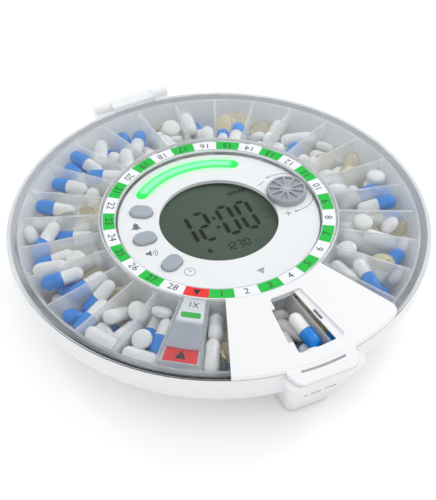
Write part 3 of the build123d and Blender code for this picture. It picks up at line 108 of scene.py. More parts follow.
class Finish:
    """A material under construction: its node tree with the usual nodes at hand."""

    def __init__(self, name):
        self.material = bpy.data.materials.new(name)
        self.material.use_nodes = True
        self.tree = self.material.node_tree
        self.tree.nodes.clear()
        self.output = self.add("ShaderNodeOutputMaterial")
        self.shader = self.add("ShaderNodeBsdfPrincipled")
        self.join(self.shader.outputs[0], self.output.inputs["Surface"])
        self.place = self.add("ShaderNodeTexCoord").outputs["Object"]

    def add(self, kind, **settings):
        made = self.tree.nodes.new(kind)
        for key, value in settings.items():
            setattr(made, key, value)
        return made

    def join(self, start, end):
        self.tree.links.new(start, end)

    def set(self, **values):
        """Uniform values straight on the shader, such as roughness=0.4."""
        for key, value in values.items():
            self.shader.inputs[key.replace("_", " ")].default_value = value
        return self

    def stretched(self, scale):
        mapping = self.add("ShaderNodeMapping")
        mapping.inputs["Scale"].default_value = scale
        self.join(self.place, mapping.inputs["Vector"])
        return mapping.outputs[0]

    def noise(self, scale, detail=3, place=None):
        grain = self.add("ShaderNodeTexNoise")
        grain.inputs["Scale"].default_value = scale
        grain.inputs["Detail"].default_value = detail
        self.join(place or self.place, grain.inputs["Vector"])
        return grain.outputs["Fac"]

    def ranged(self, value, low, high, start=0.35, end=0.65):
        span = self.add("ShaderNodeMapRange")
        span.inputs["From Min"].default_value = start
        span.inputs["From Max"].default_value = end
        span.inputs["To Min"].default_value = low
        span.inputs["To Max"].default_value = high
        self.join(value, span.inputs["Value"])
        return span.outputs["Result"]

    def blend(self, share, first, second):
        """Colour from first to second as the share goes from 0 to 1."""
        mix = self.add("ShaderNodeMix", data_type="RGBA")
        self.join(share, mix.inputs["Factor"])
        for socket, value in ((mix.inputs[6], first), (mix.inputs[7], second)):
            if isinstance(value, tuple):
                socket.default_value = value
            else:
                self.join(value, socket)
        return mix.outputs[2]

    def maths(self, operation, first, second=None):
        step = self.add("ShaderNodeMath", operation=operation)
        for socket, value in zip(step.inputs, (first, second)):
            if isinstance(value, (int, float)):
                socket.default_value = value
            elif value is not None:
                self.join(value, socket)
        return step.outputs[0]

    def from_axis(self):
        """Distance from the tray's axis, seen from above."""
        flat = self.add("ShaderNodeVectorMath", operation="MULTIPLY")
        flat.inputs[1].default_value = (1, 1, 0)
        self.join(self.place, flat.inputs[0])
        far = self.add("ShaderNodeVectorMath", operation="LENGTH")
        self.join(flat.outputs[0], far.inputs[0])
        return far.outputs["Value"]

    def along(self, axis):
        """Place along X, Y or Z."""
        parts = self.add("ShaderNodeSeparateXYZ")
        self.join(self.place, parts.inputs[0])
        return parts.outputs[axis]

    def tint(self, base, other, scale):
        """Base colour that drifts slightly to another over the piece."""
        drift = self.ranged(self.noise(scale, 2), 0, 1)
        self.join(self.blend(drift, base, other), self.shader.inputs["Base Color"])
        return self

    def roughness(self, low, high, scale):
        self.join(self.ranged(self.noise(scale, 4), low, high), self.shader.inputs["Roughness"])
        return self

    def grain(self, scale, height, strength=0.5, place=None, detail=3):
        """Fine relief of the mould's surface, `height` in metres."""
        bump = self.add("ShaderNodeBump")
        bump.inputs["Strength"].default_value = strength
        bump.inputs["Distance"].default_value = height
        self.join(self.noise(scale, detail, place), bump.inputs["Height"])
        self.join(bump.outputs["Normal"], self.shader.inputs["Normal"])
        return self

    def lets_lamps_through(self):
        """Clear plastic that doesn't darken what lies under it."""
        ray = self.add("ShaderNodeLightPath")
        clear = self.add("ShaderNodeBsdfTransparent")
        mix = self.add("ShaderNodeMixShader")
        self.join(ray.outputs["Is Shadow Ray"], mix.inputs[0])
        self.join(self.shader.outputs[0], mix.inputs[1])
        self.join(clear.outputs[0], mix.inputs[2])
        self.join(mix.outputs[0], self.output.inputs["Surface"])
        return self


def moulded(name, base, other, low=0.28, high=0.34, relief=0.001 * MM, grain_scale=2600, coat=0.0):
    """Injection-moulded plastic: slight drift of tone, uneven gloss, fine skin."""
    finish = Finish(name)
    finish.tint(base, other, 28).roughness(low, high, 60).grain(grain_scale, relief, 0.3)
    finish.set(Coat_Weight=coat, Coat_Roughness=0.08)
    return finish


def clear_plastic(name, base, other, low, high, relief, transmission=1.0, ior=1.49):
    """See-through moulding with the faint waves and scuffs of the real one."""
    finish = Finish(name)
    finish.tint(base, other, 40).roughness(low, high, 260).grain(90, relief, 0.35, detail=1)
    finish.set(Transmission_Weight=transmission, IOR=ior)
    return finish.lets_lamps_through()


def ink(name, base, other, gloss=0.5):
    """Printed ink: dense, slightly uneven, with the paper-fine grain of a print."""
    finish = Finish(name)
    finish.tint(base, other, 900).roughness(0.5, 0.6, 400).grain(5000, 0.001 * MM, 0.4)
    finish.set(Specular_IOR_Level=gloss)
    return finish.material


def metal(name, base, other, low, high, lines=(1, 1, 1)):
    """Metal with uneven gloss; its grain is finer along an axis with more lines."""
    finish = Finish(name)
    finish.tint(base, other, 300).roughness(low, high, 900)
    finish.grain(2200, 0.004 * MM, 0.5, place=finish.stretched(lines))
    finish.set(Metallic=1.0)
    return finish.material


WHITE = colour(240, 241, 243)
WHITE_COOL = colour(239, 241, 243)

white_gloss = moulded("white_gloss", WHITE, WHITE_COOL, 0.3, 0.32, coat=0.15).material
white_satin = moulded("white_satin", colour(239, 240, 242), colour(238, 240, 242), 0.42, 0.46,
                      relief=0.002 * MM, grain_scale=1800).material
window_clear = clear_plastic("window_clear", colour(240, 246, 242), colour(236, 242, 238), 0.0, 0.004,
                             0.0003 * MM, ior=1.25).material
tray_clear = clear_plastic("tray_clear", colour(252, 253, 254), colour(249, 251, 253), 0.06, 0.1, 0.006 * MM,
                           transmission=0.66).set(Alpha=0.72).material
frosted = clear_plastic("frosted", colour(236, 241, 246), colour(230, 236, 243), 0.38, 0.46, 0.01 * MM,
                        transmission=0.62).material
key_grey = moulded("key_grey", colour(166, 175, 184), colour(158, 168, 178), 0.22, 0.32, coat=0.3).material
dial_grey = moulded("dial_grey", colour(164, 170, 177), colour(154, 161, 169), 0.38, 0.5,
                    relief=0.01 * MM).material
black_plastic = moulded("black_plastic", colour(34, 35, 38), colour(26, 27, 30), 0.4, 0.55,
                        relief=0.015 * MM).material
acetal = moulded("acetal", colour(228, 226, 214), colour(220, 218, 205), 0.35, 0.45).material
grey_rubber = moulded("grey_rubber", colour(126, 129, 132), colour(112, 115, 118), 0.65, 0.85,
                      relief=0.05 * MM, grain_scale=1400).material
board_green = moulded("board_green", colour(22, 92, 52), colour(14, 76, 42), 0.25, 0.38, coat=0.2).material
zinc_steel = metal("zinc_steel", colour(176, 178, 182), colour(158, 161, 166), 0.25, 0.42, (1, 1, 12))
spring_steel = metal("spring_steel", colour(160, 162, 166), colour(138, 141, 146), 0.2, 0.35, (14, 1, 1))
motor_steel = metal("motor_steel", colour(186, 187, 190), colour(170, 171, 175), 0.3, 0.45, (10, 10, 1))
nickel = metal("nickel", colour(205, 203, 196), colour(188, 186, 178), 0.18, 0.32)
pin_steel = metal("pin_steel", colour(232, 233, 235), colour(222, 223, 226), 0.35, 0.5, (14, 1, 1))


def lid_finish():
    """Polished clear lid, frosted at the hinge block and milky at the edge of its hole."""
    finish = clear_plastic("lid_clear", colour(252, 254, 255), colour(249, 252, 254), 0.01, 0.03, 0.01 * MM)
    block = finish.ranged(finish.along("Y"), 0, 1, HINGE_BLOCK_Y, HINGE_BLOCK_Y + 0.6 * MM)
    hole_edge = finish.ranged(finish.from_axis(), 0.7, 0, LID_HOLE_R + 0.15 * MM, LID_HOLE_R + 0.4 * MM)
    milky = finish.maths("MAXIMUM", finish.maths("MULTIPLY", block, 0.75), hole_edge)
    finish.join(finish.maths("SUBTRACT", 1.0, milky), finish.shader.inputs["Transmission Weight"])
    return finish.material


def cell_finish():
    """Plain battery jackets: dark sleeve with a copper-coloured end band."""
    finish = Finish("cell_jacket")
    low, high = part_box("aa_batteries")
    half = (high.x - low.x) / 2
    end = finish.ranged(finish.maths("ABSOLUTE", finish.along("X")), 0, 1, half * 0.62, half * 0.63)
    jacket = finish.blend(end, colour(38, 40, 44), colour(176, 112, 62))
    finish.join(jacket, finish.shader.inputs["Base Color"])
    finish.roughness(0.22, 0.34, 500).grain(1200, 0.004 * MM)
    finish.set(Coat_Weight=0.4, Coat_Roughness=0.1)
    return finish.material


def light_share(finish, inner, outer):
    """1 at the middle line of the light bar, 0 at `outer` metres from it and beyond."""
    off_arc = finish.maths("ABSOLUTE", finish.maths("SUBTRACT", finish.from_axis(), LIGHT_R))
    # beyond the bar's ends the distance is taken from the nearer end's centre
    angle = finish.maths("ARCTAN2", finish.along("Y"), finish.along("X"))
    middle = radians((LIGHT_START + LIGHT_END) / 2)
    half = radians((LIGHT_END - LIGHT_START) / 2) - LIGHT_W / 2 / LIGHT_R
    off_middle = finish.maths("ABSOLUTE", finish.maths("SUBTRACT", angle, middle))
    off_end = finish.maths("SUBTRACT", off_middle, half)
    along = finish.maths("MULTIPLY", finish.maths("MAXIMUM", off_end, 0.0), LIGHT_R)
    squares = finish.maths("ADD", finish.maths("MULTIPLY", off_arc, off_arc),
                           finish.maths("MULTIPLY", along, along))
    distance = finish.maths("SQRT", squares)
    return finish.ranged(distance, 1, 0, inner, outer)


def light_finish():
    """Green diffuser that is lit from below: pale in the middle, deep at its edge."""
    finish = Finish("light_green")
    core = light_share(finish, 0.4 * MM, LIGHT_W / 2 + 0.1 * MM)
    glow = finish.blend(core, colour(0, 214, 64), colour(128, 252, 166))
    finish.join(glow, finish.shader.inputs["Emission Color"])
    body = finish.blend(core, colour(8, 190, 66), colour(90, 240, 130))
    finish.join(body, finish.shader.inputs["Base Color"])
    finish.roughness(0.16, 0.26, 400).grain(1500, 0.006 * MM)
    finish.set(Emission_Strength=1.0, Coat_Weight=0.3, Coat_Roughness=0.06)
    return finish.material


def hub_finish():
    """White panel with a painted glow: the soft green light that the light bar throws round itself is painted
    into the panel's colour.
    """
    finish = Finish("hub_white")
    # painted light: the panel's colour turns pale green near the light bar, standing in for the bar's glow on
    # it
    glow = light_share(finish, LIGHT_W / 2, LIGHT_W / 2 + 5.5 * MM)
    soft = finish.maths("POWER", glow, 2.2)
    patches = finish.ranged(finish.noise(55, 2), 0, 1)
    drift = finish.blend(patches, colour(234, 237, 239), colour(232, 235, 237))
    # the painted green glow is mixed into the base colour here
    lit = finish.blend(finish.maths("MULTIPLY", soft, 0.75), drift, colour(150, 255, 176))
    finish.join(lit, finish.shader.inputs["Base Color"])
    finish.roughness(0.4, 0.44, 60).grain(1800, 0.002 * MM)
    return finish.material


def display_finish():
    """Reflective display: grey-green film with a faint segment-fine grain."""
    finish = Finish("display_film")
    finish.tint(colour(82, 96, 86), colour(79, 93, 83), 30).roughness(0.42, 0.46, 120)
    finish.grain(7000, 0.001 * MM, 0.3)
    finish.set(Specular_IOR_Level=0.2)
    return finish.material


def ring_finish():
    """Numbered ring: opaque white that turns milky and see-through along the tab."""
    finish = Finish("ring_white")
    thin = finish.ranged(finish.from_axis(), 0, 1, TAB_THIN_R, TAB_THIN_R + 2.5 * MM)
    body = finish.blend(thin, colour(240, 242, 246), colour(222, 230, 240))
    finish.join(body, finish.shader.inputs["Base Color"])
    finish.join(finish.maths("MULTIPLY", thin, 0.7), finish.shader.inputs["Transmission Weight"])
    finish.roughness(0.34, 0.44, 320).grain(1800, 0.01 * MM)
    finish.set(IOR=1.45)
    return finish.material


lid_clear = lid_finish()
light_green = light_finish()
hub_white = hub_finish()
display_film = display_finish()
ring_white = ring_finish()
cell_jacket = cell_finish()
led_lens = moulded("led_lens", colour(226, 240, 214), colour(214, 232, 200), 0.12, 0.2, coat=0.5).material

print_green = ink("print_green", colour(10, 196, 66), colour(6, 188, 60))
print_red = ink("print_red", colour(238, 44, 44), colour(230, 38, 40))
print_black = ink("print_black", colour(34, 34, 36), colour(26, 26, 28))
print_grey = ink("print_grey", colour(112, 116, 122), colour(102, 106, 112))
print_dark = ink("print_dark", colour(44, 46, 50), colour(38, 40, 44))
display_black = ink("display_black", colour(8, 9, 8), colour(4, 5, 4), gloss=0.1)
display_faint = ink("display_faint", colour(20, 25, 22), colour(16, 21, 18), gloss=0.1)

NODE_FINISH = {
    white_gloss: ("base_bowl", "battery_door", "lid_panel"),
    white_satin: ("tray_deck", "battery_bay", "lock_lever", "dispensing_door"),
    hub_white: ("control_panel",),
    ring_white: ("dose_ring",),
    lid_clear: ("lid_cover",),
    window_clear: ("display_window",),
    tray_clear: ("tray_floor", "tray_inner_wall", "tray_outer_wall", "tray_dividers", "drive_ring"),
    frosted: ("home_cover",),
    key_grey: ("alarm_button", "volume_button", "clock_button"),
    dial_grey: ("dial_knob",),
    light_green: ("light_guide",),
    led_lens: ("leds",),
    display_film: ("lcd_module",),
    black_plastic: ("index_switch", "tact_switches", "dial_encoder", "buzzer"),
    acetal: ("drive_gear",),
    grey_rubber: ("rubber_feet",),
    board_green: ("main_circuit_board",),
    zinc_steel: ("case_screws", "motor_screws", "panel_screws", "board_screws", "motor_bracket"),
    spring_steel: ("lock_spring",),
    motor_steel: ("drive_motor",),
    nickel: ("battery_contacts", "lever_pin"),
    pin_steel: ("hinge_pin",),
    cell_jacket: ("aa_batteries",),
}


def dress_nodes():
    """Gives every CAD node its finish."""
    for finish, names in NODE_FINISH.items():
        for name in names:
            slots = nodes[name].data.materials
            if len(slots) == 0:
                slots.append(finish)
            for place in range(len(slots)):
                slots[place] = finish


# ------------------------------------------------------------------ modelling helpers
def deselect():
    """Leaves edit mode and selects nothing."""
    if bpy.context.mode != "OBJECT":
        bpy.ops.object.mode_set(mode="OBJECT")
    bpy.ops.object.select_all(action="DESELECT")


def only(*pieces):
    """Selects just these pieces, the last one active."""
    deselect()
    for piece in pieces:
        piece.select_set(True)
    bpy.context.view_layer.objects.active = pieces[-1]


def settle(piece, name, finish):
    """Names a finished piece, puts its place into its mesh and gives it its finish."""
    only(piece)
    bpy.ops.object.transform_apply(location=True, rotation=True, scale=True)
    piece.name = name
    piece.data.name = name
    piece.data.materials.clear()
    piece.data.materials.append(finish)
    return piece


def joined(pieces, name):
    """Several pieces as one mesh with one name."""
    only(*pieces)
    if len(pieces) > 1:
        bpy.ops.object.join()
    whole = bpy.context.object
    whole.name = name
    whole.data.name = name
    return whole


def thickened(piece, surface):
    """Gives a flat outline its print thickness and lays it on a surface."""
    only(piece)
    bpy.ops.object.mode_set(mode="EDIT")
    bpy.ops.mesh.select_all(action="SELECT")
    bpy.ops.mesh.extrude_region_move(TRANSFORM_OT_translate={"value": (0, 0, PRINT_T + PRINT_SINK)})
    bpy.ops.mesh.select_all(action="SELECT")
    bpy.ops.mesh.normals_make_consistent(inside=False)
    bpy.ops.object.mode_set(mode="OBJECT")
    for vertex in piece.data.vertices:
        vertex.co.z += surface(vertex.co.x, vertex.co.y) - PRINT_SINK
    return piece


def outline_print(name, outline, surface, finish):
    """Flat print of any outline; its corners are (x, y) in metres."""
    deselect()
    bpy.ops.mesh.primitive_circle_add(vertices=len(outline), radius=MM, fill_type="NGON")
    piece = bpy.context.object
    for vertex, (x, y) in zip(piece.data.vertices, outline):
        vertex.co = (x, y, 0)
    thickened(piece, surface)
    return settle(piece, name, finish)


def arc_points(radius, start, end, centre=(0, 0), step=2.0):
    """Points along an arc, angles in degrees."""
    count = max(2, ceil(abs(end - start) / step) + 1)
    angles = [radians(start + (end - start) * i / (count - 1)) for i in range(count)]
    return [(centre[0] + radius * cos(a), centre[1] + radius * sin(a)) for a in angles]


def sector_print(name, inner, outer, start, end, surface, finish):
    """Print that fills a sector of a ring: an edge spun about the axis."""
    deselect()
    bpy.ops.mesh.primitive_plane_add(size=outer - inner, location=((inner + outer) / 2, 0, 0))
    piece = bpy.context.object
    bpy.ops.object.transform_apply(location=True)
    bpy.ops.object.mode_set(mode="EDIT")
    bpy.ops.mesh.select_all(action="SELECT")
    bpy.ops.transform.resize(value=(1, 0, 1))
    bpy.ops.mesh.remove_doubles(threshold=0.001 * MM)
    bpy.ops.transform.rotate(value=-radians(start), orient_axis="Z", center_override=(0, 0, 0))
    steps = max(2, ceil((end - start) / 1.6))
    bpy.ops.mesh.spin(steps=steps, angle=-radians(end - start), center=(0, 0, 0), axis=(0, 0, 1))
    bpy.ops.object.mode_set(mode="OBJECT")
    thickened(piece, surface)
    return settle(piece, name, finish)


CAP_SHARE = 0.73             # height of a figure in the type size


def text_print(name, words, height, spot, turn, surface, finish, weight=0.0):
    """Printed characters, centred on a spot; the turn is in radians."""
    deselect()
    bpy.ops.object.text_add()
    piece = bpy.context.object
    letters = piece.data
    letters.body = words
    letters.align_x = "CENTER"
    letters.align_y = "CENTER"
    letters.size = height / CAP_SHARE
    letters.offset = weight * letters.size
    letters.resolution_u = 4
    only(piece)
    bpy.ops.object.convert(target="MESH")
    piece = bpy.context.object
    piece.data.transform(Matrix.Translation((*spot, 0)) @ Matrix.Rotation(turn, 4, "Z"))
    thickened(piece, surface)
    return settle(piece, name, finish)


def stroke_outline(points, width):
    """Outline of a line of even width through some points, with square ends."""
    left, right = [], []
    for i, (x, y) in enumerate(points):
        before = points[max(i - 1, 0)]
        after = points[min(i + 1, len(points) - 1)]
        along = Vector((after[0] - before[0], after[1] - before[1])).normalized()
        side = Vector((-along.y, along.x)) * width / 2
        left.append((x + side.x, y + side.y))
        right.append((x - side.x, y - side.y))
    return left + right[::-1]


def stroke_print(name, points, width, surface, finish):
    """Printed line through some points."""
    return outline_print(name, stroke_outline(points, width), surface, finish)


def turned(points, turn, centre=(0, 0)):
    """Points turned about the origin and moved to a centre."""
    return [(centre[0] + x * cos(turn) - y * sin(turn), centre[1] + x * sin(turn) + y * cos(turn))
            for x, y in points]


def millimetres(points):
    """Points that are written in millimetres, in metres."""
    return [(x * MM, y * MM) for x, y in points]


# ------------------------------------------------------------------ numbered ring
MARK_IN_R = 54.0 * MM
MARK_OUT_R = 60.1 * MM
NUMBER_R = 57.0 * MM
NUMBER_H = 4.1 * MM
ARROW_TIP_R = 59.2 * MM
ARROW_FOOT_R = 55.3 * MM
ARROW_HALF = 1.9             # degrees to each side
LINE_R = 53.62 * MM          # fine line along the ring's inner edge
LINE_W = 0.16 * MM


def number_ring():
    """Green and red fields, the numbers 1 to 28 and the home arrow."""
    surface = level(RING_TOP)
    half = PITCH / 2
    fields = [sector_print("field", MARK_IN_R, MARK_OUT_R, dose_angle(k) - half, dose_angle(k) + half,
                           surface, print_green) for k in range(1, DOSES, 2)]
    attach(joined(fields, "number_fields_green"), "carousel")
    home = sector_print("number_field_red", MARK_IN_R, MARK_OUT_R, dose_angle(0) - half,
                        dose_angle(0) + half, surface, print_red)
    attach(home, "carousel")
    raised = level(RING_TOP + PRINT_T)
    figures = []
    for k in range(1, DOSES):
        angle = radians(dose_angle(k))
        spot = (NUMBER_R * cos(angle), NUMBER_R * sin(angle))
        under = raised if k % 2 else surface
        figures.append(text_print("figure", str(k), NUMBER_H, spot, angle + pi / 2, under, print_dark,
                                  weight=-0.002))
    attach(joined(figures, "dose_numbers"), "carousel")
    angle = dose_angle(0)
    arrow = [(ARROW_TIP_R * cos(radians(angle)), ARROW_TIP_R * sin(radians(angle)))]
    for side in (-ARROW_HALF, ARROW_HALF):
        turn = radians(angle + side)
        arrow.append((ARROW_FOOT_R * cos(turn), ARROW_FOOT_R * sin(turn)))
    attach(outline_print("home_arrow", arrow, raised, print_black), "carousel")
    line = sector_print("ring_line", LINE_R, LINE_R + LINE_W, -180, 180, surface, print_grey)
    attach(line, "carousel")


def round_corners(width, height, radius, steps=4):
    """Outline of a rounded rectangle about the origin."""
    points = []
    for turn, (sx, sy) in enumerate(((1, 1), (-1, 1), (-1, -1), (1, -1))):
        centre = (sx * (width / 2 - radius), sy * (height / 2 - radius))
        points += arc_points(radius, turn * 90, turn * 90 + 90, centre, 90 / steps)
    return points


COUNT_R = 64.7 * MM
COUNT_H = 3.3 * MM
BAR_R = 70.9 * MM


def home_marks():
    """Prints on the home place: a count, a green bar and the red label with its arrow."""
    angle = radians(dose_angle(0))
    outward = angle + pi / 2
    tab = on_slope(TRAY_TOP_GAP)
    centre = (COUNT_R * cos(angle), COUNT_R * sin(angle))
    count = text_print("home_count", "1X", COUNT_H, centre, outward, tab, print_black, weight=0.004)
    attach(count, "carousel")
    centre = (BAR_R * cos(angle), BAR_R * sin(angle))
    bar = turned(round_corners(9.8 * MM, 3.4 * MM, 0.9 * MM), outward, centre)
    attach(outline_print("home_bar", bar, tab, print_green), "carousel")
    cover = on_slope(COVER_DROP)
    label = [(-7.6, 87.8), (7.6, 87.8), (8.4, 98.6), (-8.4, 98.6)]
    label = turned(millimetres(label), angle - pi / 2)
    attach(outline_print("home_label", label, cover, print_red), "carousel")
    arrow = turned(millimetres([(-2.6, 96.6), (0, 91.6), (2.6, 96.6)]), angle - pi / 2)
    arrow = outline_print("home_label_arrow", arrow, on_slope(COVER_DROP - PRINT_T), print_black)
    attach(arrow, "carousel")


# ------------------------------------------------------------------ display
# each figure is drawn with the seven bars a to g, clockwise from the top, g across
BARS = {"0": "abcdef", "1": "bc", "2": "abdeg", "3": "abcdg"}
BAR_GAP_SHARE = 0.3          # gap at a bar's end against its width
TIME_H = 23 * MM
TIME_BAR = 2.2 * MM
NEXT_H = 6.0 * MM
NEXT_BAR = 0.8 * MM


def bar_outline(along, width, gap):
    """One display bar from one corner to another, with pointed ends."""
    (x0, y0), (x1, y1) = along
    span = Vector((x1 - x0, y1 - y0))
    way = span.normalized()
    side = Vector((-way.y, way.x)) * width / 2
    start = Vector((x0, y0)) + way * gap
    end = Vector((x1, y1)) - way * gap
    inset = way * width / 2
    points = [start, start + inset + side, end - inset + side, end, end - inset - side, start + inset - side]
    return [tuple(point) for point in points]


def figure_bars(figure, centre_x, centre_y, width, height, bar):
    """Outlines of one figure's bars, in the display's own axes (metres)."""
    w, h = width / 2 - bar / 2, height / 2 - bar / 2
    corners = {"a": ((-w, h), (w, h)), "b": ((w, h), (w, 0)), "c": ((w, 0), (w, -h)),
               "d": ((-w, -h), (w, -h)), "e": ((-w, 0), (-w, -h)), "f": ((-w, h), (-w, 0)),
               "g": ((-w, 0), (w, 0))}
    shapes = []
    for key in BARS[figure]:
        outline = bar_outline(corners[key], bar, bar * BAR_GAP_SHARE)
        shapes.append([(centre_x + x, centre_y + y) for x, y in outline])
    return shapes


def display_marks():
    """The time, the next dose time and the small signs of the display."""
    surface = level(LCD_TOP)
    bold, fine = [], []
    for figure, x, width in (("1", -18.0, 8.2), ("2", -7.7, 8.4), ("0", 5.7, 8.6), ("0", 16.2, 8.4)):
        bold += figure_bars(figure, x * MM, 0.6 * MM, width * MM, TIME_H, TIME_BAR)
    for x, y in ((-1.3, -2.6), (-0.9, 4.5)):
        dot = turned(round_corners(1.9 * MM, 1.9 * MM, 0.5 * MM, 2), 0, (x * MM, y * MM))
        bold.append(dot)
    for figure, x in (("1", -2.6), ("2", 0.6), ("3", 4.6), ("0", 8.2)):
        fine += figure_bars(figure, x * MM, -18.4 * MM, 3.0 * MM, NEXT_H, NEXT_BAR)
    for y in (-19.7, -17.2):
        fine.append(turned(round_corners(0.5 * MM, 0.5 * MM, 0.15 * MM, 1), 0, (2.55 * MM, y * MM)))
    tick = round_corners(0.85 * MM, 2.5 * MM, 0.12 * MM, 1)
    ticks = [turned(tick, -0.1, ((13.6 + 1.6 * i) * MM, 19.2 * MM)) for i in range(6)]
    rows = (("display_time", bold, display_black),
            ("display_next_time", fine, display_faint),
            ("display_ticks", ticks, display_black))
    for name, shapes, finish in rows:
        parts = [outline_print("bar", turned(shape, LCD_TURN), surface, finish) for shape in shapes]
        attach(joined(parts, name), "base")
    for name, x, y, height in (("display_half", 25.5, -5.5, 2.6), ("display_next_half", 13.9, -19.2, 2.1)):
        (spot,) = turned([(x * MM, y * MM)], LCD_TURN)
        mark = text_print(name, "PM", height * MM, spot, LCD_TURN, surface, display_faint, weight=-0.02)
        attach(mark, "base")
    (spot,) = turned([(-12 * MM, -17.4 * MM)], LCD_TURN)
    bell = turned(bell_outline(3.6 * MM), LCD_TURN, spot)
    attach(outline_print("display_bell", bell, surface, display_faint), "base")


def bell_outline(size):
    """Side view of a small bell, as tall as `size`."""
    shoulder = arc_points(0.26, 180, 0, (0, 0.12), 30)
    half = [(0.52, -0.36), (0.52, -0.42), (0.14, -0.42), (0.1, -0.54), (-0.1, -0.54), (-0.14, -0.42),
            (-0.52, -0.42), (-0.52, -0.36), (-0.3, -0.2)]
    crown = [(-0.06, 0.38), (-0.06, 0.48), (0.06, 0.48), (0.06, 0.38)]
    left = [point for point in shoulder if point[0] < -0.07]
    right = [point for point in shoulder if point[0] > 0.07]
    outline = left + crown + right + [(0.3, -0.2)] + half
    return [(x * size, y * size) for x, y in outline]


# ------------------------------------------------------------------ prints on the hub
def hub_marks():
    """Signs beside the keys and round the dial, and the arrow at the front dose."""
    surface = level(HUB_TOP)
    parts = []
    turn = radians(-14)
    parts.append(outline_print("bell", turned(bell_outline(5.2 * MM), turn, (-40.9 * MM, 14.0 * MM)),
                               surface, print_grey))
    centre = (-41.8 * MM, -7.9 * MM)
    cone = [(-3.0, -0.8), (-3.0, 0.8), (-1.7, 0.8), (-0.1, 2.1), (-0.1, -2.1), (-1.7, -0.8)]
    parts.append(outline_print("speaker", turned(millimetres(cone), turn, centre), surface, print_grey))
    for radius in (1.3, 2.3, 3.3):
        wave = arc_points(radius * MM, -48, 48, (-0.2 * MM, 0), 12)
        parts.append(stroke_print("wave", turned(wave, turn, centre), 0.32 * MM, surface, print_grey))
    centre = (-30.2 * MM, -28.7 * MM)
    parts.append(sector_print_about("clock", 2.6 * MM, 2.9 * MM, centre, surface, print_grey))
    for hand in ([(0, 0), (0, 1.7)], [(0, 0), (1.3, 0.5)]):
        hand = turned(millimetres(hand), turn, centre)
        parts.append(stroke_print("hand", hand, 0.3 * MM, surface, print_grey))
    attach(joined(parts, "key_signs"), "base")

    dial = DIAL_CENTRE.to_2d()
    parts = [stroke_print("minus", millimetres([(30.6, 14.3), (34.6, 16.0)]), 0.4 * MM, surface, print_grey)]
    for ends in ([(32.6, -11.3), (36.2, -12.7)], [(33.7, -13.8), (35.1, -10.2)]):
        parts.append(stroke_print("plus", millimetres(ends), 0.4 * MM, surface, print_grey))
    for points in (DIAL_ARC_BACK, DIAL_ARC_FRONT):
        spots = [Vector(point) * MM for point in points]
        radius = sum((spot - dial).length for spot in spots) / len(spots)
        angles = [degrees(atan2(spot.y - dial.y, spot.x - dial.x)) for spot in spots]
        arc = arc_points(radius, angles[0], angles[1], dial, 6)
        parts.append(stroke_print("dial_arc", arc, 0.34 * MM, surface, print_grey))
        tip = Vector(arc[-1])
        way = (tip - Vector(arc[-2])).normalized()
        side = Vector((-way.y, way.x))
        head = [tuple(tip + way * 1.3 * MM), tuple(tip + side * 0.75 * MM), tuple(tip - side * 0.75 * MM)]
        parts.append(outline_print("dial_arrow", head, surface, print_grey))
    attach(joined(parts, "dial_signs"), "base")
    arrow = millimetres([(-0.1, -42.4), (4.7, -42.0), (2.1, -46.3)])
    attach(outline_print("front_arrow", arrow, surface, key_grey), "base")


DIAL_ARC_BACK = ((51.7, 16.2), (38.4, 16.6))
DIAL_ARC_FRONT = ((53.3, -5.3), (39.2, -12.6))


def sector_print_about(name, inner, outer, centre, surface, finish):
    """A full printed ring about a centre."""
    ring = sector_print(name, inner, outer, 0, 360, level(0), finish)
    for vertex in ring.data.vertices:
        vertex.co.x += centre[0]
        vertex.co.y += centre[1]
        vertex.co.z += surface(vertex.co.x, vertex.co.y)
    return ring


def dial_mark():
    """The small sign in the middle of the dial."""
    spot = (DIAL_CENTRE.x, DIAL_CENTRE.y)
    points = turned(millimetres([(-0.9, 1.1), (-0.2, -0.9), (1.5, -0.2)]), radians(-20), spot)
    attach(stroke_print("dial_mark", points, 0.38 * MM, level(DIAL_TOP), white_satin), "dial")


# ------------------------------------------------------------------ pills
PLACE_FILL = 20              # pills dropped into each dose place
SIM_SCALE = 100              # the pills fall as bodies a hundred times as large
SIM_FRAMES = 90
PILL_SIDES = 12
FALL_FRICTION = 0.35
GUARD_TOP = 224 * MM         # the falling room ends above the highest pill
GUARD_T = 2 * MM
TRAY_DEPTH = 21 * MM
DIVIDER_LONG = 52 * MM
LAYER = 9.4 * MM             # one pill of a place falls from each layer
FIRST_LAYER = 7 * MM         # above the tray's floor


def dome(radius, height, low, high, count):
    """Section of a domed end: points from angle low to high, in degrees."""
    angles = [radians(low + (high - low) * i / (count - 1)) for i in range(count)]
    return [(radius * cos(a), height * sin(a)) for a in angles]


def capsule_section(length, radius, step):
    """Two-piece capsule: a body and a cap that overlaps it by a slight step."""
    straight = length / 2 - radius
    body = [(x, z - straight) for x, z in dome(radius, radius, -90, 0, 4)]
    cap = [(x, z + straight) for x, z in dome(radius + step, radius + step, 0, 90, 4)]
    seam = [(radius, 0.4 * MM), (radius + step, 0.55 * MM)]
    return body + seam + cap


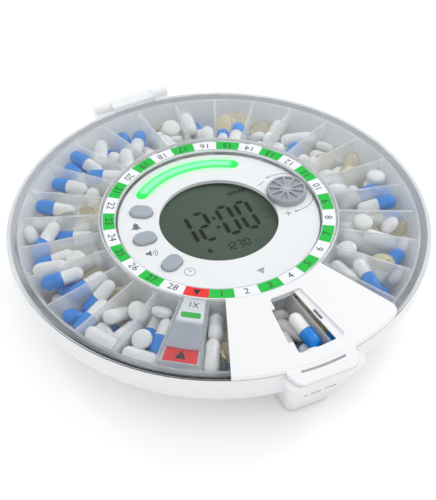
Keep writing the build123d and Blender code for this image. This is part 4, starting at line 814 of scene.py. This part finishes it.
def spun(name, section, finishes, split=None):
    """A pill turned from its half section about Z; faces above `split` get the second finish."""
    deselect()
    bpy.ops.mesh.primitive_circle_add(vertices=len(section), radius=MM, fill_type="NOTHING")
    pill = bpy.context.object
    for vertex, (x, z) in zip(pill.data.vertices, section):
        vertex.co = (max(x, 0), 0, z)
    bpy.ops.object.mode_set(mode="EDIT")
    bpy.ops.mesh.select_all(action="SELECT")
    bpy.ops.mesh.spin(steps=PILL_SIDES, angle=2 * pi, center=(0, 0, 0), axis=(0, 0, 1))
    bpy.ops.mesh.select_all(action="SELECT")
    bpy.ops.mesh.remove_doubles(threshold=0.02 * MM)
    bpy.ops.mesh.delete_loose(use_verts=True, use_edges=True, use_faces=False)
    bpy.ops.mesh.select_all(action="SELECT")
    bpy.ops.mesh.normals_make_consistent(inside=False)
    bpy.ops.object.mode_set(mode="OBJECT")
    bpy.ops.object.shade_smooth()
    settle(pill, name, finishes[0])
    if split is not None:
        pill.data.materials.append(finishes[1])
        for face in pill.data.polygons:
            face.material_index = int(face.center.z > split)
    return pill


def pill_finishes():
    """Blue and white capsule shells, pressed white tablet and clear yellow softgel."""
    blue = moulded("capsule_blue", colour(0, 138, 230), colour(0, 130, 222), 0.1, 0.14,
                   coat=0.25).material
    white = moulded("capsule_white", colour(244, 244, 243), colour(241, 241, 241), 0.14, 0.2,
                    coat=0.4).material
    tablet = moulded("tablet_white", colour(243, 243, 242), colour(238, 238, 237), 0.5, 0.6,
                     relief=0.03 * MM, grain_scale=2400).material
    amber = Finish("softgel_amber")
    amber.tint(colour(255, 250, 226), colour(255, 243, 202), 120).roughness(0.04, 0.09, 200)
    amber.grain(300, 0.01 * MM, 0.3)
    amber.set(Transmission_Weight=0.9, IOR=1.4, Coat_Weight=0.3)
    amber.lets_lamps_through()
    return blue, white, tablet, amber.material


def pill_kinds():
    """The pill prototypes with their share of a mixed fill."""
    blue, white, tablet, amber = pill_finishes()
    score = [(0, -2.5), (3.4, -2.1), (4.9, -1.4), (5.2, -1.0), (5.2, 1.0), (4.9, 1.4), (3.4, 2.1), (0, 2.5)]
    return [
        (spun("capsules_blue", capsule_section(22 * MM, 3.7 * MM, 0.22 * MM), (white, blue), 0.45 * MM), 0.3),
        (spun("capsules_white", capsule_section(19 * MM, 3.75 * MM, 0.12 * MM), (white,)), 0.22),
        (spun("softgels", dome(4.5 * MM, 6.9 * MM, -90, 90, 9), (amber,)), 0.24),
        (spun("tablets", millimetres(score), (tablet,)), 0.24),
    ]


def tray_guard(size, place, turn, lean=0.0):
    """A wall of the falling room, at simulation scale; the lean tips it outwards."""
    deselect()
    bpy.ops.mesh.primitive_cube_add(size=1)
    wall = bpy.context.object
    wall.matrix_world = (Matrix.Rotation(turn, 4, "Z") @ Matrix.Translation(Vector(place) * SIM_SCALE)
                         @ Matrix.Rotation(lean, 4, "Y") @ Matrix.Diagonal((*(Vector(size) * SIM_SCALE), 1)))
    only(wall)
    bpy.ops.object.transform_apply(location=False, rotation=False, scale=True)
    bpy.ops.rigidbody.object_add(type="PASSIVE")
    wall.rigid_body.collision_shape = "BOX"
    wall.rigid_body.use_margin = True
    wall.rigid_body.collision_margin = 0
    wall.rigid_body.friction = FALL_FRICTION
    return wall


def falling_room():
    """Floor and walls of the tray, with guards above them that keep each fill in its place."""
    middle_z = (TRAY_FLOOR_TOP + GUARD_TOP) / 2
    height = GUARD_TOP - TRAY_FLOOR_TOP
    lean = atan2(TRAY_TOP_R - TRAY_FOOT_R, TRAY_DEPTH)
    half = radians(PITCH / 2)
    divider = (DIVIDER_LONG, DIVIDER_T, height)
    divider_place = (TRAY_IN_R + DIVIDER_LONG / 2 - MM, 0, middle_z)
    inner = (GUARD_T, 15 * MM, height)
    inner_place = (TRAY_IN_R - GUARD_T / 2, 0, middle_z)
    outer = (GUARD_T, 25 * MM, 30 * MM)
    outer_place = (TRAY_FOOT_R - 0.7 * MM + 15 * MM * sin(lean), 0, TRAY_FLOOR_TOP + 13 * MM)
    guard = (GUARD_T, 26 * MM, height)
    guard_place = (TRAY_TOP_R, 0, middle_z + 18 * MM)
    walls = [tray_guard((0.24, 0.24, 4 * MM), (0, 0, TRAY_FLOOR_TOP - 2 * MM), 0)]
    for k in range(DOSES):
        turn = radians(dose_angle(k))
        walls.append(tray_guard(divider, divider_place, turn + half))
        walls.append(tray_guard(inner, inner_place, turn))
        walls.append(tray_guard(outer, outer_place, turn, lean))
        walls.append(tray_guard(guard, guard_place, turn))
    return walls


def dropped_pill(kind, place, spin):
    """One pill above the tray, at simulation scale, ready to fall."""
    pill = bpy.data.objects.new(kind.name + "_one", kind.data.copy())
    bpy.context.scene.collection.objects.link(pill)
    pill.data.transform(Matrix.Scale(SIM_SCALE, 4))
    pill.matrix_world = Matrix.Translation(Vector(place) * SIM_SCALE) @ spin
    only(pill)
    bpy.ops.rigidbody.object_add(type="ACTIVE")
    body = pill.rigid_body
    body.collision_shape = "CONVEX_HULL"
    body.use_margin = True
    body.collision_margin = 0
    body.friction = FALL_FRICTION
    body.linear_damping = 0.12
    body.angular_damping = 0.3
    return pill


def fill_tray():
    """Drops a mixed fill of pills into the 28 dose places and keeps what fits."""
    chance = Random(29)
    kinds = pill_kinds()
    scene = bpy.context.scene
    bpy.ops.rigidbody.world_add()
    scene.rigidbody_world.substeps_per_frame = 8
    scene.rigidbody_world.solver_iterations = 12
    scene.rigidbody_world.point_cache.frame_end = SIM_FRAMES
    walls = falling_room()
    pills = []
    for k in range(1, DOSES):
        angle = radians(dose_angle(k))
        for i in range(PLACE_FILL):
            pick = chance.random()
            for kind, share in kinds:
                pick -= share
                if pick < 0:
                    break
            radius = chance.uniform(77, 88) * MM
            height = TRAY_FLOOR_TOP + FIRST_LAYER + LAYER * i
            place = (radius * cos(angle), radius * sin(angle), height)
            lean = Matrix.Rotation(pi / 2 + chance.uniform(-0.2, 0.2), 4, "Y")
            spin = Matrix.Rotation(angle + chance.uniform(-0.25, 0.25), 4, "Z") @ lean
            pills.append((kind, dropped_pill(kind, place, spin)))
    last = SIM_FRAMES
    for moment in range(1, last + 1):
        scene.frame_set(moment)
    places = [(kind, pill, pill.matrix_world.copy()) for kind, pill in pills]
    scene.frame_set(1)
    only(*walls, *[pill for kind, pill, place in places])
    bpy.ops.rigidbody.objects_remove()
    bpy.ops.rigidbody.world_remove()
    kept = {}
    for kind, pill, place in places:
        pill.matrix_world = Matrix.Identity(4)
        pill.data.transform(place)
        pill.data.transform(Matrix.Scale(1 / SIM_SCALE, 4))
        if fits_in_tray(pill):
            kept.setdefault(kind.name, []).append(pill)
        else:
            bpy.data.objects.remove(pill)
    for wall in walls:
        bpy.data.objects.remove(wall)
    for kind, share in kinds:
        name = kind.name
        bpy.data.objects.remove(kind)
        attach(joined(kept[name], name), "carousel")


def fits_in_tray(pill):
    """True where every corner of the pill lies inside the tray, below the lid."""
    for vertex in pill.data.vertices:
        radius = hypot(vertex.co.x, vertex.co.y)
        roof = lid_top(radius) - TRAY_TOP_GAP + 0.2 * MM
        if vertex.co.z > roof or vertex.co.z < TRAY_FLOOR_TOP - 0.3 * MM:
            return False
        if radius < TRAY_IN_R - 0.3 * MM or radius > TRAY_TOP_R - MM:
            return False
    return True


# ------------------------------------------------------------------ camera, light, floor
CAMERA_PLACE = (-0.2401, -0.4888, 0.5386)
CAMERA_TURN = (46.47, 0.18, -26.28)       # degrees
CAMERA_LENS = 102.09
AIR_LIGHT = 0.84             # strength of the white air on matt faces
FLOOR_GLOW = 0.16            # lifts the paper to white where it is seen


def photograph_camera():
    """Camera at the photograph's place, turn and lens."""
    bpy.ops.object.camera_add(location=CAMERA_PLACE, rotation=[radians(angle) for angle in CAMERA_TURN])
    camera = bpy.context.object
    camera.data.lens = CAMERA_LENS
    camera.data.clip_start = 0.01
    bpy.context.scene.camera = camera


def softbox(name, place, target, size, watts):
    """Rectangular lamp that faces its target."""
    bpy.ops.object.light_add(type="AREA", location=place)
    lamp = bpy.context.object
    lamp.name = name
    lamp.data.shape = "RECTANGLE"
    lamp.data.size, lamp.data.size_y = size
    lamp.data.energy = watts
    lamp.rotation_euler = (Vector(target) - Vector(place)).to_track_quat("-Z", "Y").to_euler()


def studio():
    """Pale floor, pale surroundings and soft lamps from the upper right."""
    softbox("key_softbox", (1.15, 0.15, 1.1), (0, 0, 0), (0.7, 0.7), 4.6)
    softbox("top_softbox", (-0.3, -0.2, 1.3), (0, 0, 0), (0.9, 0.9), 1.6)
    softbox("glint_lamp_left", (-0.35, 0.75, 0.8), (0, 0, 0), (0.07, 0.07), 0.6)
    softbox("glint_lamp_right", (0.75, 0.35, 0.95), (0, 0, 0), (0.07, 0.07), 0.6)
    world = bpy.data.worlds.new("studio_air")
    bpy.context.scene.world = world
    world.use_nodes = True
    tree = world.node_tree
    tree.nodes.clear()

    def step(operation, first, second):
        made = tree.nodes.new("ShaderNodeMath")
        made.operation = operation
        for socket, value in zip(made.inputs, (first, second)):
            if isinstance(value, float):
                socket.default_value = value
            else:
                tree.links.new(value, socket)
        return made.outputs[0]

    ray = tree.nodes.new("ShaderNodeLightPath")
    lit = tree.nodes.new("ShaderNodeBackground")
    lit.inputs["Color"].default_value = (1.0, 1.0, 1.0, 1)
    lit.inputs["Strength"].default_value = AIR_LIGHT
    # what gloss and clear plastic show: white round the horizon, a dimmer ceiling above
    way = tree.nodes.new("ShaderNodeSeparateXYZ")
    tree.links.new(tree.nodes.new("ShaderNodeTexCoord").outputs["Generated"], way.inputs[0])
    fade = tree.nodes.new("ShaderNodeMapRange")
    tree.links.new(way.outputs["Z"], fade.inputs["Value"])
    for socket, value in (("From Min", 0.2), ("From Max", 0.55), ("To Min", 1.0), ("To Max", 0.6)):
        fade.inputs[socket].default_value = value
    seen = tree.nodes.new("ShaderNodeBackground")
    seen.inputs["Color"].default_value = (1, 1, 1, 1)
    tree.links.new(step("MAXIMUM", fade.outputs[0], ray.outputs["Is Camera Ray"]), seen.inputs["Strength"])
    share = step("MAXIMUM", ray.outputs["Is Camera Ray"], ray.outputs["Is Glossy Ray"])
    share = step("MAXIMUM", share, ray.outputs["Is Transmission Ray"])
    mix = tree.nodes.new("ShaderNodeMixShader")
    tree.links.new(share, mix.inputs[0])
    tree.links.new(lit.outputs[0], mix.inputs[1])
    tree.links.new(seen.outputs[0], mix.inputs[2])
    out = tree.nodes.new("ShaderNodeOutputWorld")
    tree.links.new(mix.outputs[0], out.inputs["Surface"])

    deselect()
    bpy.ops.mesh.primitive_plane_add(size=6)
    floor = bpy.context.object
    floor.name = "studio_floor"
    paper = Finish("studio_paper")
    paper.tint(colour(248, 248, 248), colour(246, 246, 246), 3).set(Roughness=0.9, Specular_IOR_Level=0.0)
    ray = paper.add("ShaderNodeLightPath")
    glow = paper.add("ShaderNodeEmission")
    seen = paper.maths("MAXIMUM", ray.outputs["Is Camera Ray"], ray.outputs["Is Glossy Ray"])
    seen = paper.maths("MAXIMUM", seen, ray.outputs["Is Transmission Ray"])
    paper.join(paper.maths("MULTIPLY", seen, FLOOR_GLOW), glow.inputs["Strength"])
    both = paper.add("ShaderNodeAddShader")
    paper.join(paper.shader.outputs[0], both.inputs[0])
    paper.join(glow.outputs[0], both.inputs[1])
    paper.join(both.outputs[0], paper.output.inputs["Surface"])
    floor.data.materials.append(paper.material)
    bpy.context.scene.view_settings.view_transform = "Standard"


photograph_camera()
studio()
dress_nodes()
number_ring()
home_marks()
display_marks()
hub_marks()
dial_mark()
fill_tray()
